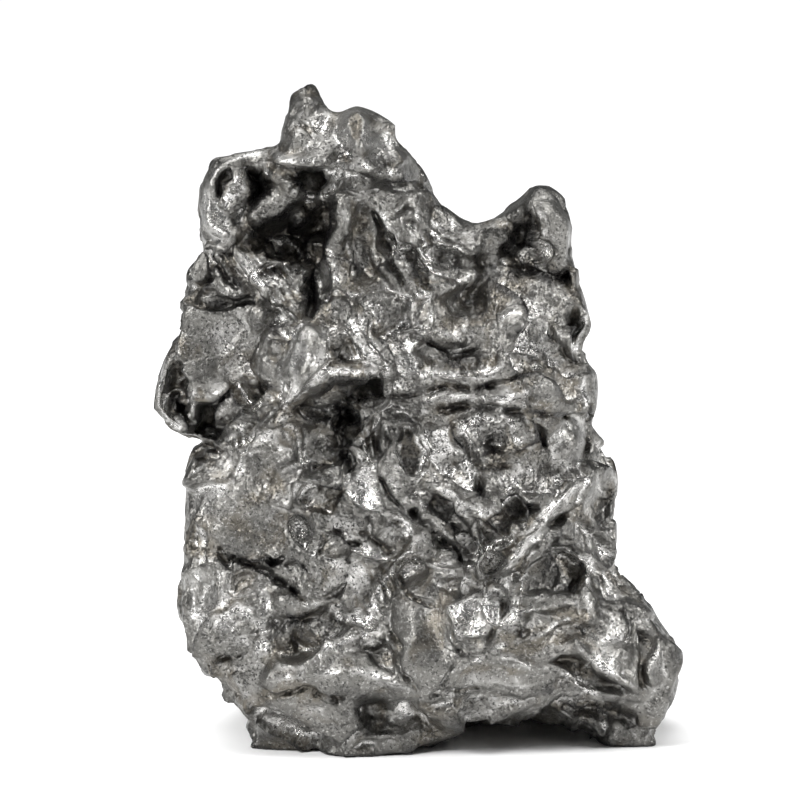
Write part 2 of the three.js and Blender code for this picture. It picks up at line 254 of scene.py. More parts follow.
beakStrokes = {
    "ridge": [
        (1.2, 0.8, 0.15, [(-13.8, 33.4), (-12.6, 34.9), (-10.6, 36.2), (-8.4, 37.5), (-5, 37.6),
                          (-2.6, 37.2)]),
        (1.3, 0.15, 1.3, [(-13.6, 33.8), (-13.4, 38), (-12.4, 41), (-10.4, 43)]),
        (1.2, 1.3, 0.2, [(-3, 37.4), (-4.4, 39.8), (-6.2, 41.8), (-8, 43.2)]),
        (0.7, 0.6, 0.4, [(-9.2, 42.6), (-8.9, 40.4), (-8.7, 38.6)]),
        (0.9, 0.5, 0.5, [(-7.7, 42.7), (-6.4, 41.2), (-5.3, 39.8), (-4.5, 38.4)]),
        (0.7, 0.4, 0.4, [(-6.7, 43), (-5, 41.2), (-4.1, 39.4), (-4, 38.1)]),
        (0.5, 0.3, 0.3, [(-10.3, 34.9), (-9.4, 34.3), (-8.6, 34.8)]),
        (0.6, 0.6, 0.4, [(-13.4, 33.6), (-12.9, 31.8), (-12.1, 30), (-11.6, 28.3)]),
        (0.7, 0.3, 0.35, [(-18.8, 35.3), (-19.4, 33.8), (-20.4, 32.6)]),
        (0.6, 0.35, 0.35, [(-15.9, 39.2), (-14.7, 40.5), (-13.6, 39.2)]),
        (0.6, 0.4, 0.4, [(-15.6, 41.2), (-14.4, 41.4), (-13.2, 42), (-12.2, 41.8)]),
        (0.7, 0.5, 0.5, [(-21, 30), (-17.4, 32.6), (-14.4, 35.7)]),
        (0.7, 0.4, 0.5, [(-19.6, 29.7), (-16, 32), (-13.9, 34.1)]),
        (0.5, 0.4, 0.4, [(-18.4, 28.9), (-15.6, 30.9), (-14, 32.5)]),
        (1.1, 0.5, 0.5, [(-24.2, 44.8), (-25, 42), (-25.7, 38.6), (-26, 35.8), (-25.8, 34),
                         (-24.8, 32.9), (-23.4, 31.4)]),
        (0.8, 0.5, 0.4, [(-23.3, 38.7), (-22.4, 37), (-22.2, 35.4), (-22.6, 33.8), (-23.4, 32.8)]),
        (0.7, 0.6, 0.4, [(-12.2, 27.1), (-10, 26.9), (-6.7, 27.7)]),
        (0.7, 0.4, 0.5, [(-12.6, 27), (-12.4, 25.6), (-13.4, 24)]),
    ],
    "crack": [
        (1.5, 0.35, [(-7.5, 36.8), (-7.5, 33), (-7.2, 30.4), (-7.1, 28)]),
        (0.9, 0.25, [(-23.9, 44.2), (-24.3, 41.2), (-25, 39.3)]),
        (1.0, 0.4, [(-24.4, 38.4), (-24.3, 36), (-23.6, 33.9)]),
        (0.9, 0.3, [(-17.8, 34.8), (-16, 35.4), (-14.5, 36.7)]),
        (0.6, 0.22, [(-21.6, 30.6), (-18.4, 32.8), (-15.4, 35.6)]),
        (0.6, 0.22, [(-20, 29.6), (-17, 31.5), (-14.6, 33.6)]),
        (0.8, 0.3, [(-13.4, 42.6), (-13, 40.6), (-13.2, 38.4), (-13, 36.2), (-13.4, 34.2)]),
        (0.7, 0.25, [(-7.2, 42.6), (-5.8, 40.8), (-4.8, 39.2)]),
        (0.8, 0.3, [(-11, 28.2), (-9, 28.6), (-6.9, 29.2)]),
        (0.8, 0.3, [(-5, 34.6), (-4.7, 32.6), (-4.1, 31), (-3.7, 29)]),
        (1.0, 0.3, [(-3.4, 35.2), (-1.4, 35.6), (0.6, 35.9), (3, 36.3), (5, 36.2), (8, 36.8),
                    (10, 37.2), (12, 37.6)]),
        (0.9, 0.3, [(-22.4, 30.8), (-21.4, 30.3), (-20.2, 29.6), (-22.6, 29), (-22.8, 28)]),
    ],
    "well": [
        (-1.4, 0.4, [(-13.8, 33.6), (-13.4, 38), (-12, 41.2), (-10, 43.2), (-9, 42.4), (-8.8, 38.6),
                     (-10.5, 36.4), (-12.4, 34.6)]),
        (3.2, 0.35, [(-12.9, 33.5), (-11.6, 34.6), (-10.4, 35.6), (-9.4, 36.4), (-8.4, 37.2),
                     (-4.2, 37.3), (-3.3, 35.2), (-4, 34.9), (-6.7, 34.8), (-6.9, 32.6), (-8, 31.8),
                     (-9.3, 33.2), (-11.2, 33.1)]),
        (2.6, 0.5, [(-18.2, 36.5), (-18.7, 35), (-20, 33), (-21.6, 31.8), (-22.8, 31), (-22.5, 32.6),
                    (-21.6, 34.6), (-20, 35.7)]),
        (1.5, 0.35, [(-24.9, 39.2), (-23.7, 38.8), (-22.9, 37), (-22.7, 35.4), (-22.9, 34),
                     (-23.5, 32.9), (-24.6, 34), (-25.3, 35.4), (-25.3, 37.6)]),
        (1.3, 0.3, [(-16.4, 36.3), (-15, 37.3), (-14.8, 36.2), (-16, 35.2)]),
        (0.9, 0.5, [(-12, 25), (-10.6, 26.9), (-7, 27.3), (-7.4, 25), (-8.6, 23.5), (-11.4, 24.1)]),
        (0.7, 0.4, [(-11.1, 32.6), (-9.8, 32.9), (-8, 31.6), (-7.5, 30), (-7.7, 28.7), (-10.6, 28.2),
                    (-11.4, 29.6)]),
        (0.8, 0.7, [(-8.9, 41.4), (-8.2, 40.6), (-7.4, 39.2), (-6.2, 38.3), (-8.5, 38.1),
                    (-8.9, 39.4)]),
        (0.9, 0.25, [(-3.6, 32.6), (-3.1, 31.9), (-2.6, 31), (-2.9, 30.6), (-3.5, 31.4)]),
    ],
    "bowl": [
        (0.5, 3.6, 3.6, 0, (-20.4, 40.6)),
        (-0.9, 1.3, 1.0, 20, (-16.9, 36.9)),
        (-0.8, 1.7, 1.4, 0, (-15.1, 38.5)),
        (-0.7, 1.6, 3.4, -12, (-10.8, 39)),
        (0.9, 1.8, 2.6, 0, (-15.4, 27.2)),
        (1.1, 1.4, 1.3, 0, (-11.9, 22.3)),
        (-0.6, 0.6, 0.5, 0, (-4.7, 28.6)),
    ],
    "grain": [
        (0.26, 0.5, 38, 5.6, 2.6, (-17.4, 32.4)),
        (0.12, 0.45, -30, 2.6, 1.6, (-15, 38.4)),
        (0.12, 0.4, -62, 1.6, 3.6, (-5.6, 40.6)),
    ],
}

barStrokes = {
    "ridge": [
        (1.1, 1.2, 1.0, [(-0.6, 34.9), (4, 35), (8, 35.2), (12, 36), (14.6, 36.6)]),
        (0.9, 0.35, 0.4, [(-0.4, 32.5), (0.2, 31.4), (0.9, 30), (0.6, 29), (0.1, 28)]),
        (0.9, 0.4, 0.4, [(4.4, 33.2), (5.1, 31.8), (5, 30.3)]),
        (0.7, 0.4, 0.4, [(5.9, 32.7), (5.9, 31.2), (6.4, 30)]),
        (1.0, 0.8, 0.6, [(8.6, 33.4), (9.8, 31.7), (10.6, 30.2)]),
        (0.7, 0.35, 0.4, [(10.9, 33.4), (12.4, 32.2), (13.2, 30.6)]),
        (0.6, 0.35, 0.35, [(4.2, 28.6), (4.8, 27), (5.3, 25.6)]),
        (1.3, 0.7, 0.6, [(10, 26.9), (8.4, 25.1), (6.9, 23.5), (6.1, 22.6)]),
        (2.0, 1.0, 0.7, [(17.2, 27.8), (14, 24.7), (11, 21.4), (8.6, 18.2), (7.4, 16.8)]),
        (0.8, 0.3, 0.3, [(13.6, 22.5), (11.3, 19.9), (9.5, 17.4), (7.7, 16.2)]),
        (1.1, 0.35, 0.35, [(10, 23.3), (9.3, 22.5), (8.8, 21.4), (7.6, 20.6), (6.4, 20), (5.8, 18.8),
                           (6.1, 17.4), (7, 17.1)]),
        (1.1, 0.4, 0.35, [(-0.6, 26), (0.3, 24.1), (1.7, 22.5), (3.1, 21), (3.6, 20.4)]),
        (0.6, 0.25, 0.25, [(-0.3, 23.1), (1.1, 22), (2.5, 21)]),
        (0.7, 0.5, 0.4, [(0.4, 27), (2.4, 26.1), (3.7, 25.2), (4.5, 23.5), (5.5, 22.1)]),
        (0.6, 0.6, 0.4, [(0, 19.1), (2.6, 18.6), (4, 17.7), (5.6, 16.5), (6.8, 15.9)]),
        (1.0, 0.5, 0.6, [(16.2, 38), (16.7, 36), (16.8, 33.6)]),
        (0.8, 0.5, 0.6, [(18, 32.2), (18.8, 29.8), (19.7, 27.6), (19.8, 25)]),
        (0.5, 0.4, 0.4, [(17.6, 28.2), (18.1, 26.4), (18.5, 25)]),
    ],
    "crack": [
        (0.9, 0.4, [(0.5, 33.9), (4, 34.1), (7, 33.9), (10.5, 34), (13, 33.6), (16, 33.1)]),
        (1.6, 0.4, [(15, 24), (13, 21.9), (11, 19.4), (9.8, 17.7), (8.4, 16.5)]),
        (1.9, 0.45, [(-0.8, 24.7), (0.2, 22.8), (1.6, 21.4), (3, 20.3), (4.6, 19.1), (5.1, 18.3)]),
        (1.3, 0.35, [(17.5, 34.8), (17.2, 33.2), (17.4, 32.4)]),
        (1.4, 0.35, [(17, 31.4), (17.2, 30), (17.3, 28.8)]),
        (0.7, 0.25, [(14.2, 26.9), (15.4, 27), (16.2, 27.6)]),
        (0.8, 0.25, [(5, 30.2), (5.2, 28.8), (6.8, 28.5), (9.2, 28.4)]),
        (0.8, 0.3, [(-3.8, 24), (-2.6, 23), (-1.6, 22.2)]),
        (0.9, 0.3, [(-4.6, 27.4), (-3, 25.8), (-1.6, 24.6), (-1.8, 23.6)]),
    ],
    "well": [
        (1.7, 0.4, [(-1.9, 32.3), (-0.9, 32.2), (-0.3, 31), (0.5, 29.8), (0.2, 28.6), (-0.4, 27.7),
                    (-1.4, 28), (-2.1, 29.6)]),
        (2.0, 0.3, [(10.7, 33.2), (11.5, 32.6), (12.7, 31.4), (13, 30.3), (12, 30.1), (11.2, 31.4)]),
        (2.4, 0.5, [(6.4, 23.1), (7.6, 23.8), (8.9, 25), (10, 25.4), (11.6, 25), (12.2, 24.2),
                    (10.8, 23.1), (10, 23.1), (9.2, 22.2), (8.5, 21.2), (7, 20.8), (5.8, 20.4),
                    (5.8, 21.6)]),
        (2.3, 0.5, [(1.4, 26.2), (3.3, 25.4), (4, 24), (5.3, 22.2), (5.4, 21), (5.4, 19.6),
                    (4.6, 19.3), (3.5, 20.8), (2.5, 22.4), (1, 24.6)]),
        (1.6, 0.4, [(18.1, 26.4), (19.3, 26.3), (19.6, 23), (19, 21.6), (17.8, 23), (17.4, 24.5)]),
    ],
    "bowl": [
        (1.5, 0.9, 2.3, 30, (3.8, 31.6)),
        (1.4, 1.8, 1.8, 0, (7.4, 30.4)),
        (0.8, 1.7, 1.6, 0, (12.8, 27.6)),
        (1.3, 0.9, 1.8, 12, (6.2, 26.4)),
        (0.9, 1.1, 1.1, 0, (3.6, 27.6)),
        (-1.0, 1.8, 2.4, 0, (15, 30.5)),
        (1.5, 1.2, 1.4, 0, (7.2, 18.9)),
        (-0.7, 1.5, 1.7, 0, (0.6, 20)),
        (1.2, 1.8, 1.7, 0, (-0.8, 17.9)),
        (-0.7, 1.7, 1.7, 0, (15.6, 22.4)),
        (-0.7, 1.8, 0.9, 0, (-1.3, 34.2)),
        (0.6, 0.8, 0.5, 0, (-0.9, 34.3)),
    ],
    "grain": [
        (0.2, 0.5, 46, 6.0, 1.4, (12, 22.6)),
        (0.16, 0.6, 6, 6.0, 1.6, (7, 35.4)),
        (0.18, 0.4, -62, 1.6, 2.4, (10.4, 31.6)),
        (0.14, 0.5, -72, 2.4, 4.4, (-4.4, 31)),
    ],
}

hemStrokes = {
    "ridge": [
        (1.3, 1.6, 1.3, [(-16, 7.7), (-12.8, 7.5), (-9.8, 8.5), (-6.4, 8.5), (-3.6, 7.5), (-0.8, 6.7)]),
        (0.9, 0.4, 0.4, [(-14.4, 8.7), (-12, 8.9), (-10, 9.9), (-8.4, 10.8), (-6.6, 11.6), (-5, 12)]),
        (0.6, 0.35, 0.35, [(-4.8, 1.5), (-2, 2.2), (0.4, 2.8)]),
        (0.7, 0.5, 0.5, [(-17.8, 8.2), (-17.4, 6.2), (-17, 4.2)]),
        (0.8, 1.2, 0.4, [(5.4, 10.3), (9, 10.6), (12, 11.8), (14, 13.4), (15.6, 13.8)]),
        (1.0, 1.0, 0.6, [(20.4, 5.1), (17.6, 6), (15.2, 7.4), (12.4, 8.7), (9, 9.4), (5.6, 9.9),
                         (3.6, 8.8), (1.8, 6.8)]),
        (0.9, 0.35, 0.4, [(15.1, 12), (15.6, 10.4), (16.8, 9.6), (18, 8.6), (19.6, 7.9), (20.8, 7),
                          (22, 5.9)]),
        (1.3, 0.4, 0.5, [(17.5, 20.2), (16.9, 18), (16.8, 15.6), (17, 13.2), (17.2, 12.2)]),
        (0.8, 0.3, 0.35, [(23.3, 11.2), (23.6, 10), (23, 8.6), (23.2, 6.5)]),
        (0.6, 0.4, 0.4, [(9, 16.2), (9.2, 14.2), (9.2, 12.4)]),
        (0.6, 0.4, 0.4, [(11.3, 14.4), (11.1, 13), (10, 11.8)]),
        (0.6, 0.4, 0.4, [(18.8, 21.8), (19.4, 20), (19.6, 18)]),
        (0.7, 0.5, 0.4, [(-14.6, 15), (-12.6, 15), (-10.4, 15), (-9.4, 15.6)]),
    ],
    "crack": [
        (0.9, 0.4, [(-16, 7), (-14.6, 6), (-12.6, 6), (-10.4, 6.5), (-9.6, 5.8), (-8, 5.2),
                    (-6.6, 5.3)]),
        (1.0, 0.28, [(-3.4, 13.6), (-2.7, 11.8), (-2.1, 10), (-1.6, 8.2), (-0.5, 6.8), (0.3, 6)]),
        (0.8, 0.3, [(3.2, 12.4), (3.8, 10.6), (3.3, 8.8), (1.8, 6.6)]),
        (1.0, 0.3, [(-22.9, 23.3), (-22.6, 22), (-22.8, 20.2)]),
        (1.3, 0.3, [(-19.2, 18.4), (-18.1, 19.3), (-16.9, 18.9), (-15.2, 19.6), (-14.1, 19.1),
                    (-12.8, 20)]),
        (1.4, 0.35, [(-16.6, 18.6), (-14.7, 18.3), (-13.8, 17), (-12.6, 15.9), (-11, 15.2)]),
        (0.6, 0.2, [(-9.9, 22.2), (-9.3, 20.9), (-10, 19.2), (-9.2, 17.8), (-9.6, 16.2)]),
        (0.9, 0.24, [(-9.6, 22), (-7.8, 21.8), (-6.9, 21), (-5.6, 20.8)]),
        (1.1, 0.28, [(-5.2, 21.8), (-4, 21), (-3.4, 20.1), (-2.4, 20)]),
        (0.6, 0.2, [(-7.6, 19.6), (-6.7, 18.3), (-7.4, 16.8)]),
        (0.9, 0.25, [(-13.2, 18.7), (-11.6, 18.7), (-10.8, 17.4), (-9.8, 17.2)]),
        (0.9, 0.25, [(-5.6, 23.6), (-5, 22.2), (-6.2, 22)]),
        (0.8, 0.3, [(8, 15.6), (8.2, 14), (7.4, 12), (6.3, 10.9)]),
        (0.6, 0.25, [(0.6, 5.6), (2.2, 6.6), (4.6, 6.6), (6.4, 6.2), (7.4, 5.4)]),
        (0.6, 0.22, [(-4.2, 17.4), (-3.2, 16), (-2.8, 14.6)]),
        (0.7, 0.3, [(-17.4, 9.6), (-18.6, 9.7), (-20, 9.8)]),
        (0.8, 0.25, [(-2.2, 18), (-1.6, 16.6), (-0.8, 15.3), (1.4, 14.8)]),
    ],
    "well": [
        (1.5, 0.9, [(-14.9, 10), (-15.2, 11.6), (-14.3, 13.5), (-12, 14.6), (-9.6, 14.6), (-8, 13.9),
                    (-6.6, 12.6), (-7.8, 11.7), (-9.6, 10.7), (-11.4, 9.7), (-13.4, 9.2)]),
        (1.7, 0.4, [(-5.6, 10.8), (-4.8, 9.4), (-3.8, 8.7), (-2.4, 8.4), (-2.1, 9.4), (-2.4, 10.4),
                    (-3.4, 10.7), (-4.6, 10.4)]),
        (1.6, 0.9, [(-6.8, 5), (-5.4, 5.9), (-3.2, 5.8), (-2.9, 4), (-3, 2.4), (-3.6, 1.9), (-5, 2.3),
                    (-5.8, 3.4)]),
        (2.0, 0.35, [(-19.8, 20.6), (-18.9, 19.4), (-18.4, 18.2), (-19.3, 18.2), (-20.1, 19.6)]),
        (1.1, 0.5, [(-18.9, 16.2), (-18.6, 17.4), (-17, 18.2), (-15.6, 17.9), (-16.4, 17.2),
                    (-17.8, 16.4), (-18.4, 15.6)]),
        (1.2, 0.3, [(-9.9, 15.6), (-9.2, 16.2), (-8, 16.6), (-7, 16.7), (-7.4, 16), (-8.4, 15.4)]),
        (0.9, 0.3, [(-19.9, 7), (-19.2, 6.2), (-19, 4.8), (-19.6, 5.2)]),
        (0.9, 0.3, [(-20.9, 8.9), (-20.3, 9), (-20.3, 7.6), (-20.8, 7.8)]),
        (1.7, 0.5, [(12.6, 9.1), (14, 9.7), (15.6, 9.5), (17, 8.7), (19, 7.5), (20.6, 6.7),
                    (21.4, 5.9), (20, 5.6), (17.6, 6.3), (15.6, 7.3), (14, 8.4)]),
        (1.6, 0.7, [(14.6, 5.2), (17, 5), (20, 4.6), (22, 3.8), (22.4, 2.4), (21, 2.4), (18, 2.7),
                    (15.6, 3.3), (14.6, 4)]),
        (1.6, 0.6, [(11, 18.8), (12.6, 19.8), (14.6, 19.6), (16.4, 18.8), (16.4, 15.7), (15.6, 15.2),
                    (13, 15.5), (10.6, 15.9), (10.4, 17)]),
        (0.9, 0.25, [(15.8, 12.8), (16.6, 12.6), (16.6, 11.6), (15.8, 11.4)]),
        (1.3, 0.4, [(19.8, 13.8), (20.6, 14.1), (21.4, 13), (21.5, 11.6), (21.1, 10.9), (20.2, 11),
                    (20.7, 12.2)]),
        (1.3, 0.35, [(21.7, 12), (22.8, 11.7), (23.2, 10.8), (22.7, 9), (23, 6.5), (21.7, 6.7),
                     (21.9, 9)]),
    ],
    "bowl": [
        (-0.6, 2.9, 5.4, 4, (0.4, 11.4)),
        (-1.4, 1.3, 2.0, -30, (-12.9, 12)),
        (-0.9, 1.2, 1.6, 20, (-10.6, 12.2)),
        (-0.8, 1.7, 1.9, 0, (20, 9.6)),
        (1.0, 0.6, 0.9, 0, (15.6, 16.2)),
        (0.9, 1.6, 1.2, 0, (13.6, 20.8)),
        (-0.6, 0.55, 0.5, 0, (-10.6, 18.8)),
        (1.0, 0.4, 0.7, 0, (-22.6, 21)),
        (0.7, 0.4, 0.5, 0, (-21.6, 8)),
        (-0.7, 2.0, 2.2, 0, (5.8, 13)),
        (-0.6, 2.2, 2.6, 0, (-16.4, 13.6)),
        (-0.8, 1.6, 1.2, 0, (-7.9, 20.8)),
        (-0.7, 1.3, 1.2, 0, (-4, 22.8)),
        (-0.7, 1.4, 1.6, 0, (-7.2, 15)),
        (0.9, 0.9, 0.7, 0, (10.4, 11.6)),
    ],
    "grain": [
        (0.14, 0.5, -70, 1.6, 3.4, (18.8, 17)),
        (0.12, 0.5, -55, 3.0, 3.6, (-3.6, 16)),
    ],
}

# The outline as the front shows it, all round but for the feet.
outline = [
    (-13.1, 63.6), (-12.9, 65.5), (-11.7, 66.6), (-10.5, 66.2), (-9.2, 64.2), (-8, 63.7), (-6.2, 64.3),
    (-4.3, 63.7), (-2.6, 62.4), (-2.1, 60.8), (-0.4, 59.5), (0.6, 57.4), (2.4, 54.8), (5.1, 52.9),
    (7.6, 53.2), (10.2, 55), (11.8, 56.5), (13.8, 55.8), (15.4, 53), (15.4, 49.4), (16.8, 44.6),
    (17.3, 42.4), (16.6, 40.2), (18, 37.4), (18.1, 34.4), (17.7, 32.2), (19.4, 29.4), (20.3, 26.6),
    (20.1, 23), (20.6, 17.6), (22.4, 16), (24, 13.1), (26.2, 10.1), (26.6, 8.2), (26, 4.4), (24.2, 1.6),
    (23, -3), (-15.6, -3), (-17, 2.6), (-19.9, 4.7), (-20.6, 6.7), (-21.8, 7), (-23, 9.4),
    (-23.4, 11.4), (-24.6, 14.2), (-23.8, 18.4), (-24, 20.8), (-23.5, 27.6), (-23.2, 30), (-22.3, 30.8),
    (-24.2, 31.4), (-26.4, 33.6), (-26.6, 35.4), (-24.6, 43.4), (-23.5, 48.4), (-22.2, 50), (-22.2, 55),
    (-21, 58.3), (-19.6, 59.4), (-14.4, 60.4), (-13.7, 61.8),
]

# Places where the metal is worn smooth: share, half sizes, turn, middle.
calmPlaces = [
    (0.75, 4.4, 1.9, -46, (-15, 46.9)),
    (0.65, 1.7, 4.6, 0, (-5.6, 50)),
    (0.7, 6.0, 1.2, 46, (12.4, 22.8)),
    (0.6, 2.2, 3.4, 0, (15, 30.4)),
    (0.6, 2.4, 2.0, 0, (3.0, 43.4)),
    (0.9, 2.4, 5.0, -15, (-11.2, 38.4)),
    (0.9, 1.5, 4.4, 10, (-20.6, 54)),
    (0.9, 3.0, 1.1, 0, (-17.4, 59.3)),
    (0.95, 3.0, 4.0, 0, (-6.0, 61.3)),
    (0.95, 4.0, 4.4, 0, (-11.5, 61.6)),
    (0.8, 2.6, 3.4, 0, (-1.4, 58.6)),
    (0.9, 4.4, 4.4, 0, (-20.4, 40.6)),
    (0.9, 2.4, 4.6, 25, (13.9, 52.6)),
    (0.95, 3.4, 6.4, 4, (0.4, 11.4)),
    (0.8, 12, 3.0, 0, (-8, 7.4)),
    (0.8, 9.0, 3.0, 10, (10, 9.8)),
    (0.8, 4.0, 5.0, 0, (21, 9)),
    (0.8, 2.6, 4.0, 10, (-22.2, 48.3)),
    (0.7, 5.0, 5.0, 0, (-17, 24.5)),
]

# Places painted lighter (above 0) or darker (below 0) than the rest, partly the metal's own tone and partly
# painted light and shade: share, half sizes, turn, middle.
tones = [
    (0.5, 5, 2.8, 0, (-9, 62)), (0.5, 2.0, 2.8, 0, (-6.1, 61.4)), (-1.7, 0.7, 1.4, 0, (-6.2, 61.9)),
    (0.5, 2.2, 1.4, 0, (0.5, 7.4)), (0.3, 2.5, 2, 0, (0, 58.5)), (0.4, 1.4, 3, 0, (-20.6, 53)),
    (-0.9, 2, 1, 0, (-10.5, 56.8)), (-0.7, 1.3, 2.6, 0, (-16.2, 56)),
    (-0.7, 0.7, 1.6, 0, (-19.6, 56.4)), (-1.0, 4.6, 3, 0, (-12.6, 51.6)),
    (-1.0, 1, 3.6, 0, (-10.6, 46)), (0.8, 3.8, 1.8, -48, (-15, 46.8)), (-0.5, 3, 1.4, 0, (-20, 46.6)),
    (-0.7, 3.6, 0.8, 0, (-20, 44.8)), (0.3, 1.2, 2, 0, (-21.8, 48)), (-0.4, 2, 4.6, 0, (-5.6, 50)),
    (-0.6, 2, 1, -20, (2.6, 49)), (-0.6, 0.8, 2.4, 10, (-0.4, 48)), (-0.8, 2.2, 3.4, 0, (10.4, 51)),
    (-0.8, 3.6, 1.2, 0, (11.6, 47.6)), (-0.5, 3.6, 2, 0, (6, 45)), (-0.5, 1, 0.8, 0, (15.6, 41)),
    (0.6, 1.6, 3.2, 20, (13.9, 52.6)), (0.6, 1.4, 2, 0, (11.6, 42)), (0.4, 1.2, 1.8, 0, (2, 44)),
    (0.5, 1.2, 0.8, 0, (1.6, 47)), (-0.5, 5, 0.8, 0, (4, 38.4)), (0.3, 5, 1.0, 0, (5, 35.6)),
    (-0.3, 4, 3, 0, (-20, 41)), (0.3, 2, 1.8, 0, (-18.8, 38.2)), (-0.5, 3.4, 2, 0, (8, 10)),
    (-0.4, 4, 2, 0, (-6, 6)), (-0.4, 3, 3, 0, (13, 9)), (-0.3, 3, 5, 0, (25, 9)),
    (0.5, 1.8, 1.6, 0, (-5, 17)), (0.5, 1.6, 2, 0, (-3.6, 60.4)), (0.5, 1.1, 1.3, 0, (-12.2, 53.4)),
    (0.4, 3.6, 2.6, -30, (1, 49.6)), (-0.4, 2.6, 2, 0, (-17, 21.4)), (-0.7, 1, 2.8, 10, (-23.8, 36)),
    (0.9, 2.0, 4.0, -15, (-11, 38.6)), (0.4, 1.4, 4, 10, (-20.8, 54)), (-0.7, 0.9, 2, 0, (-7.9, 39.4)),
    (0.6, 1.2, 2.8, 30, (-5.2, 40)), (-1.0, 4, 1.5, 0, (-7.4, 35.6)), (-0.5, 2, 3, 0, (-9.5, 31)),
    (-0.5, 0.5, 4, 0, (-7.4, 32)), (0.6, 1.7, 3.4, 0, (-4.8, 31)), (-0.4, 2.4, 1.4, 0, (-16.5, 36)),
    (-0.9, 2.8, 1.1, 40, (-20.2, 33.4)), (0.4, 4, 5, 0, (-20, 26)), (-0.5, 2, 3, 0, (-15.4, 27)),
    (-0.5, 2, 1.8, 0, (-9.3, 25.2)), (-0.8, 3.6, 0.7, 0, (-17, 19.1)), (0.5, 3, 4, 0, (-21, 15)),
    (0.5, 3, 3, 0, (-17, 13)), (0.5, 4, 3.6, 0, (-7, 19.6)), (0.4, 1.8, 3, 0, (-5, 15)),
    (0.4, 1.8, 4, 15, (-4.4, 26)), (-0.4, 3.4, 2.1, 0, (-11.4, 12)), (-0.5, 1.8, 1.9, 0, (-4.6, 3.9)),
    (-0.7, 1.6, 1.1, 0, (-4, 9.6)), (0.4, 8, 1.2, 0, (-9, 7.3)), (0.3, 6, 1.8, 0, (-11, 3.2)),
    (-0.4, 1.5, 2.8, 0, (0.6, 11)), (0.5, 1, 2.6, 0, (3.2, 12.6)), (0.4, 0.8, 3, 0, (-1.9, 12)),
    (0.6, 2.4, 1.9, 0, (6.5, 13.6)), (-0.8, 1.2, 3.4, 35, (3.4, 22.6)), (-0.8, 2.6, 1.1, 40, (9, 23.6)),
    (0.8, 6, 0.9, 46, (12.6, 23.2)), (-0.4, 2, 1.8, 0, (0.4, 18)), (-0.6, 3, 2.2, 0, (13.4, 17.8)),
    (-0.5, 1.4, 2, 0, (6.6, 30)), (-0.6, 0.8, 2.4, 10, (-1, 30)), (-0.7, 1.1, 1.8, 0, (12, 31.6)),
    (0.6, 1.8, 2.8, 0, (15, 30.4)), (0.4, 1.2, 2, 0, (2.4, 31.4)), (0.4, 1.6, 1, 40, (8, 24.9)),
    (-0.8, 4, 1.2, 0, (17.6, 3.9)), (-0.7, 3.6, 0.9, -25, (16.8, 7.6)), (-0.7, 0.5, 2.8, 0, (22.3, 9)),
    (0.4, 1.8, 4.6, 0, (24.2, 6)), (0.5, 1.4, 2.6, 0, (19, 10.6)), (-0.6, 0.8, 3, 0, (19.1, 24)),
    (-0.6, 0.5, 3, 0, (17.3, 31.6)), (0.4, 1.4, 3, 10, (18.2, 17.6)), (0.3, 4, 1.2, 0, (8, 7.6)),
]

frontStrokes = [crownStrokes, shardStrokes, foldStrokes, beakStrokes, barStrokes, hemStrokes]

# The canvas that the strokes are drawn on. Lengths are in mm.
canvas = {
    "u": (-30.0, 30.0),
    "v": (-4.0, 70.0),
    "step": 0.13,
    "broad": 0.26,         # relief finer than this is left for the finished skin
    "tip": 0.06,           # how blunt the ridges are
    "ends": 0.12,          # the share of its length over which a stroke fades in and out
    "skirt": 1.6,          # how wide the feet of the ridges run out
    "wander": 0.25,        # how far the strokes stray
    "wanderLength": 4.0,
    "unevenLength": 5.0,
    "raggedLength": 1.7,
    "toneRange": (-0.6, 0.8),
    "lineTone": 1.1,
    "edgePolishAndShade": 0.6,         # how bright the edges are painted, and how dark their feet: painted highlight and painted shade, along with polish and dirt
    "edgePolishAndShadeReach": 0.55,
    "edgePolishAndShadeRise": 0.5,
    "seed": 5,
}

# How strongly each kind of stroke is pressed in, and how many widths away it has faded out.
force = {"ridge": 1.45, "crack": 1.1, "well": 0.8, "bowl": 1.3, "grain": 1.0, "tone": 1.0}
fadeOut = {"ridge": 4.5, "crack": 2.5, "well": 2.5, "bowl": 1.35, "grain": 1.35, "calm": 1.35, "tone": 1.35}


def wander(length, rng, waves=9):
    # a smooth uneven field over the canvas, about -1 to 1
    total = 0
    for wave in range(waves):
        heading, phase = rng.uniform(0, 2 * math.pi, 2)
        pace = 2 * math.pi / (length * rng.uniform(0.6, 1.8))
        total = total + np.sin(pace * (math.cos(heading) * canvasU + math.sin(heading) * canvasV) + phase)
    return (total / math.sqrt(waves)).astype(np.float32)


canvasU, canvasV = np.meshgrid(
    np.arange(*canvas["u"], canvas["step"], dtype=np.float32),
    np.arange(*canvas["v"], canvas["step"], dtype=np.float32), indexing="ij")
canvasSize = canvasU.shape
canvasRng = np.random.default_rng(canvas["seed"])
# no ridge keeps its height, no line runs straight, and no crack or bright edge keeps its strength
uneven = 0.9 + 0.2 * wander(canvas["unevenLength"], canvasRng)
drift = [canvas["wander"] * wander(canvas["wanderLength"], canvasRng) for side in "uv"]
ragged = np.clip(0.75 + 0.4 * wander(canvas["raggedLength"], canvasRng), 0.2, 1.3)
canvasU, canvasV = canvasU + drift[0], canvasV + drift[1]


def smoothStep(low, high, value):
    t = np.clip((value - low) / (high - low), 0, 1)
    return t * t * (3 - 2 * t)


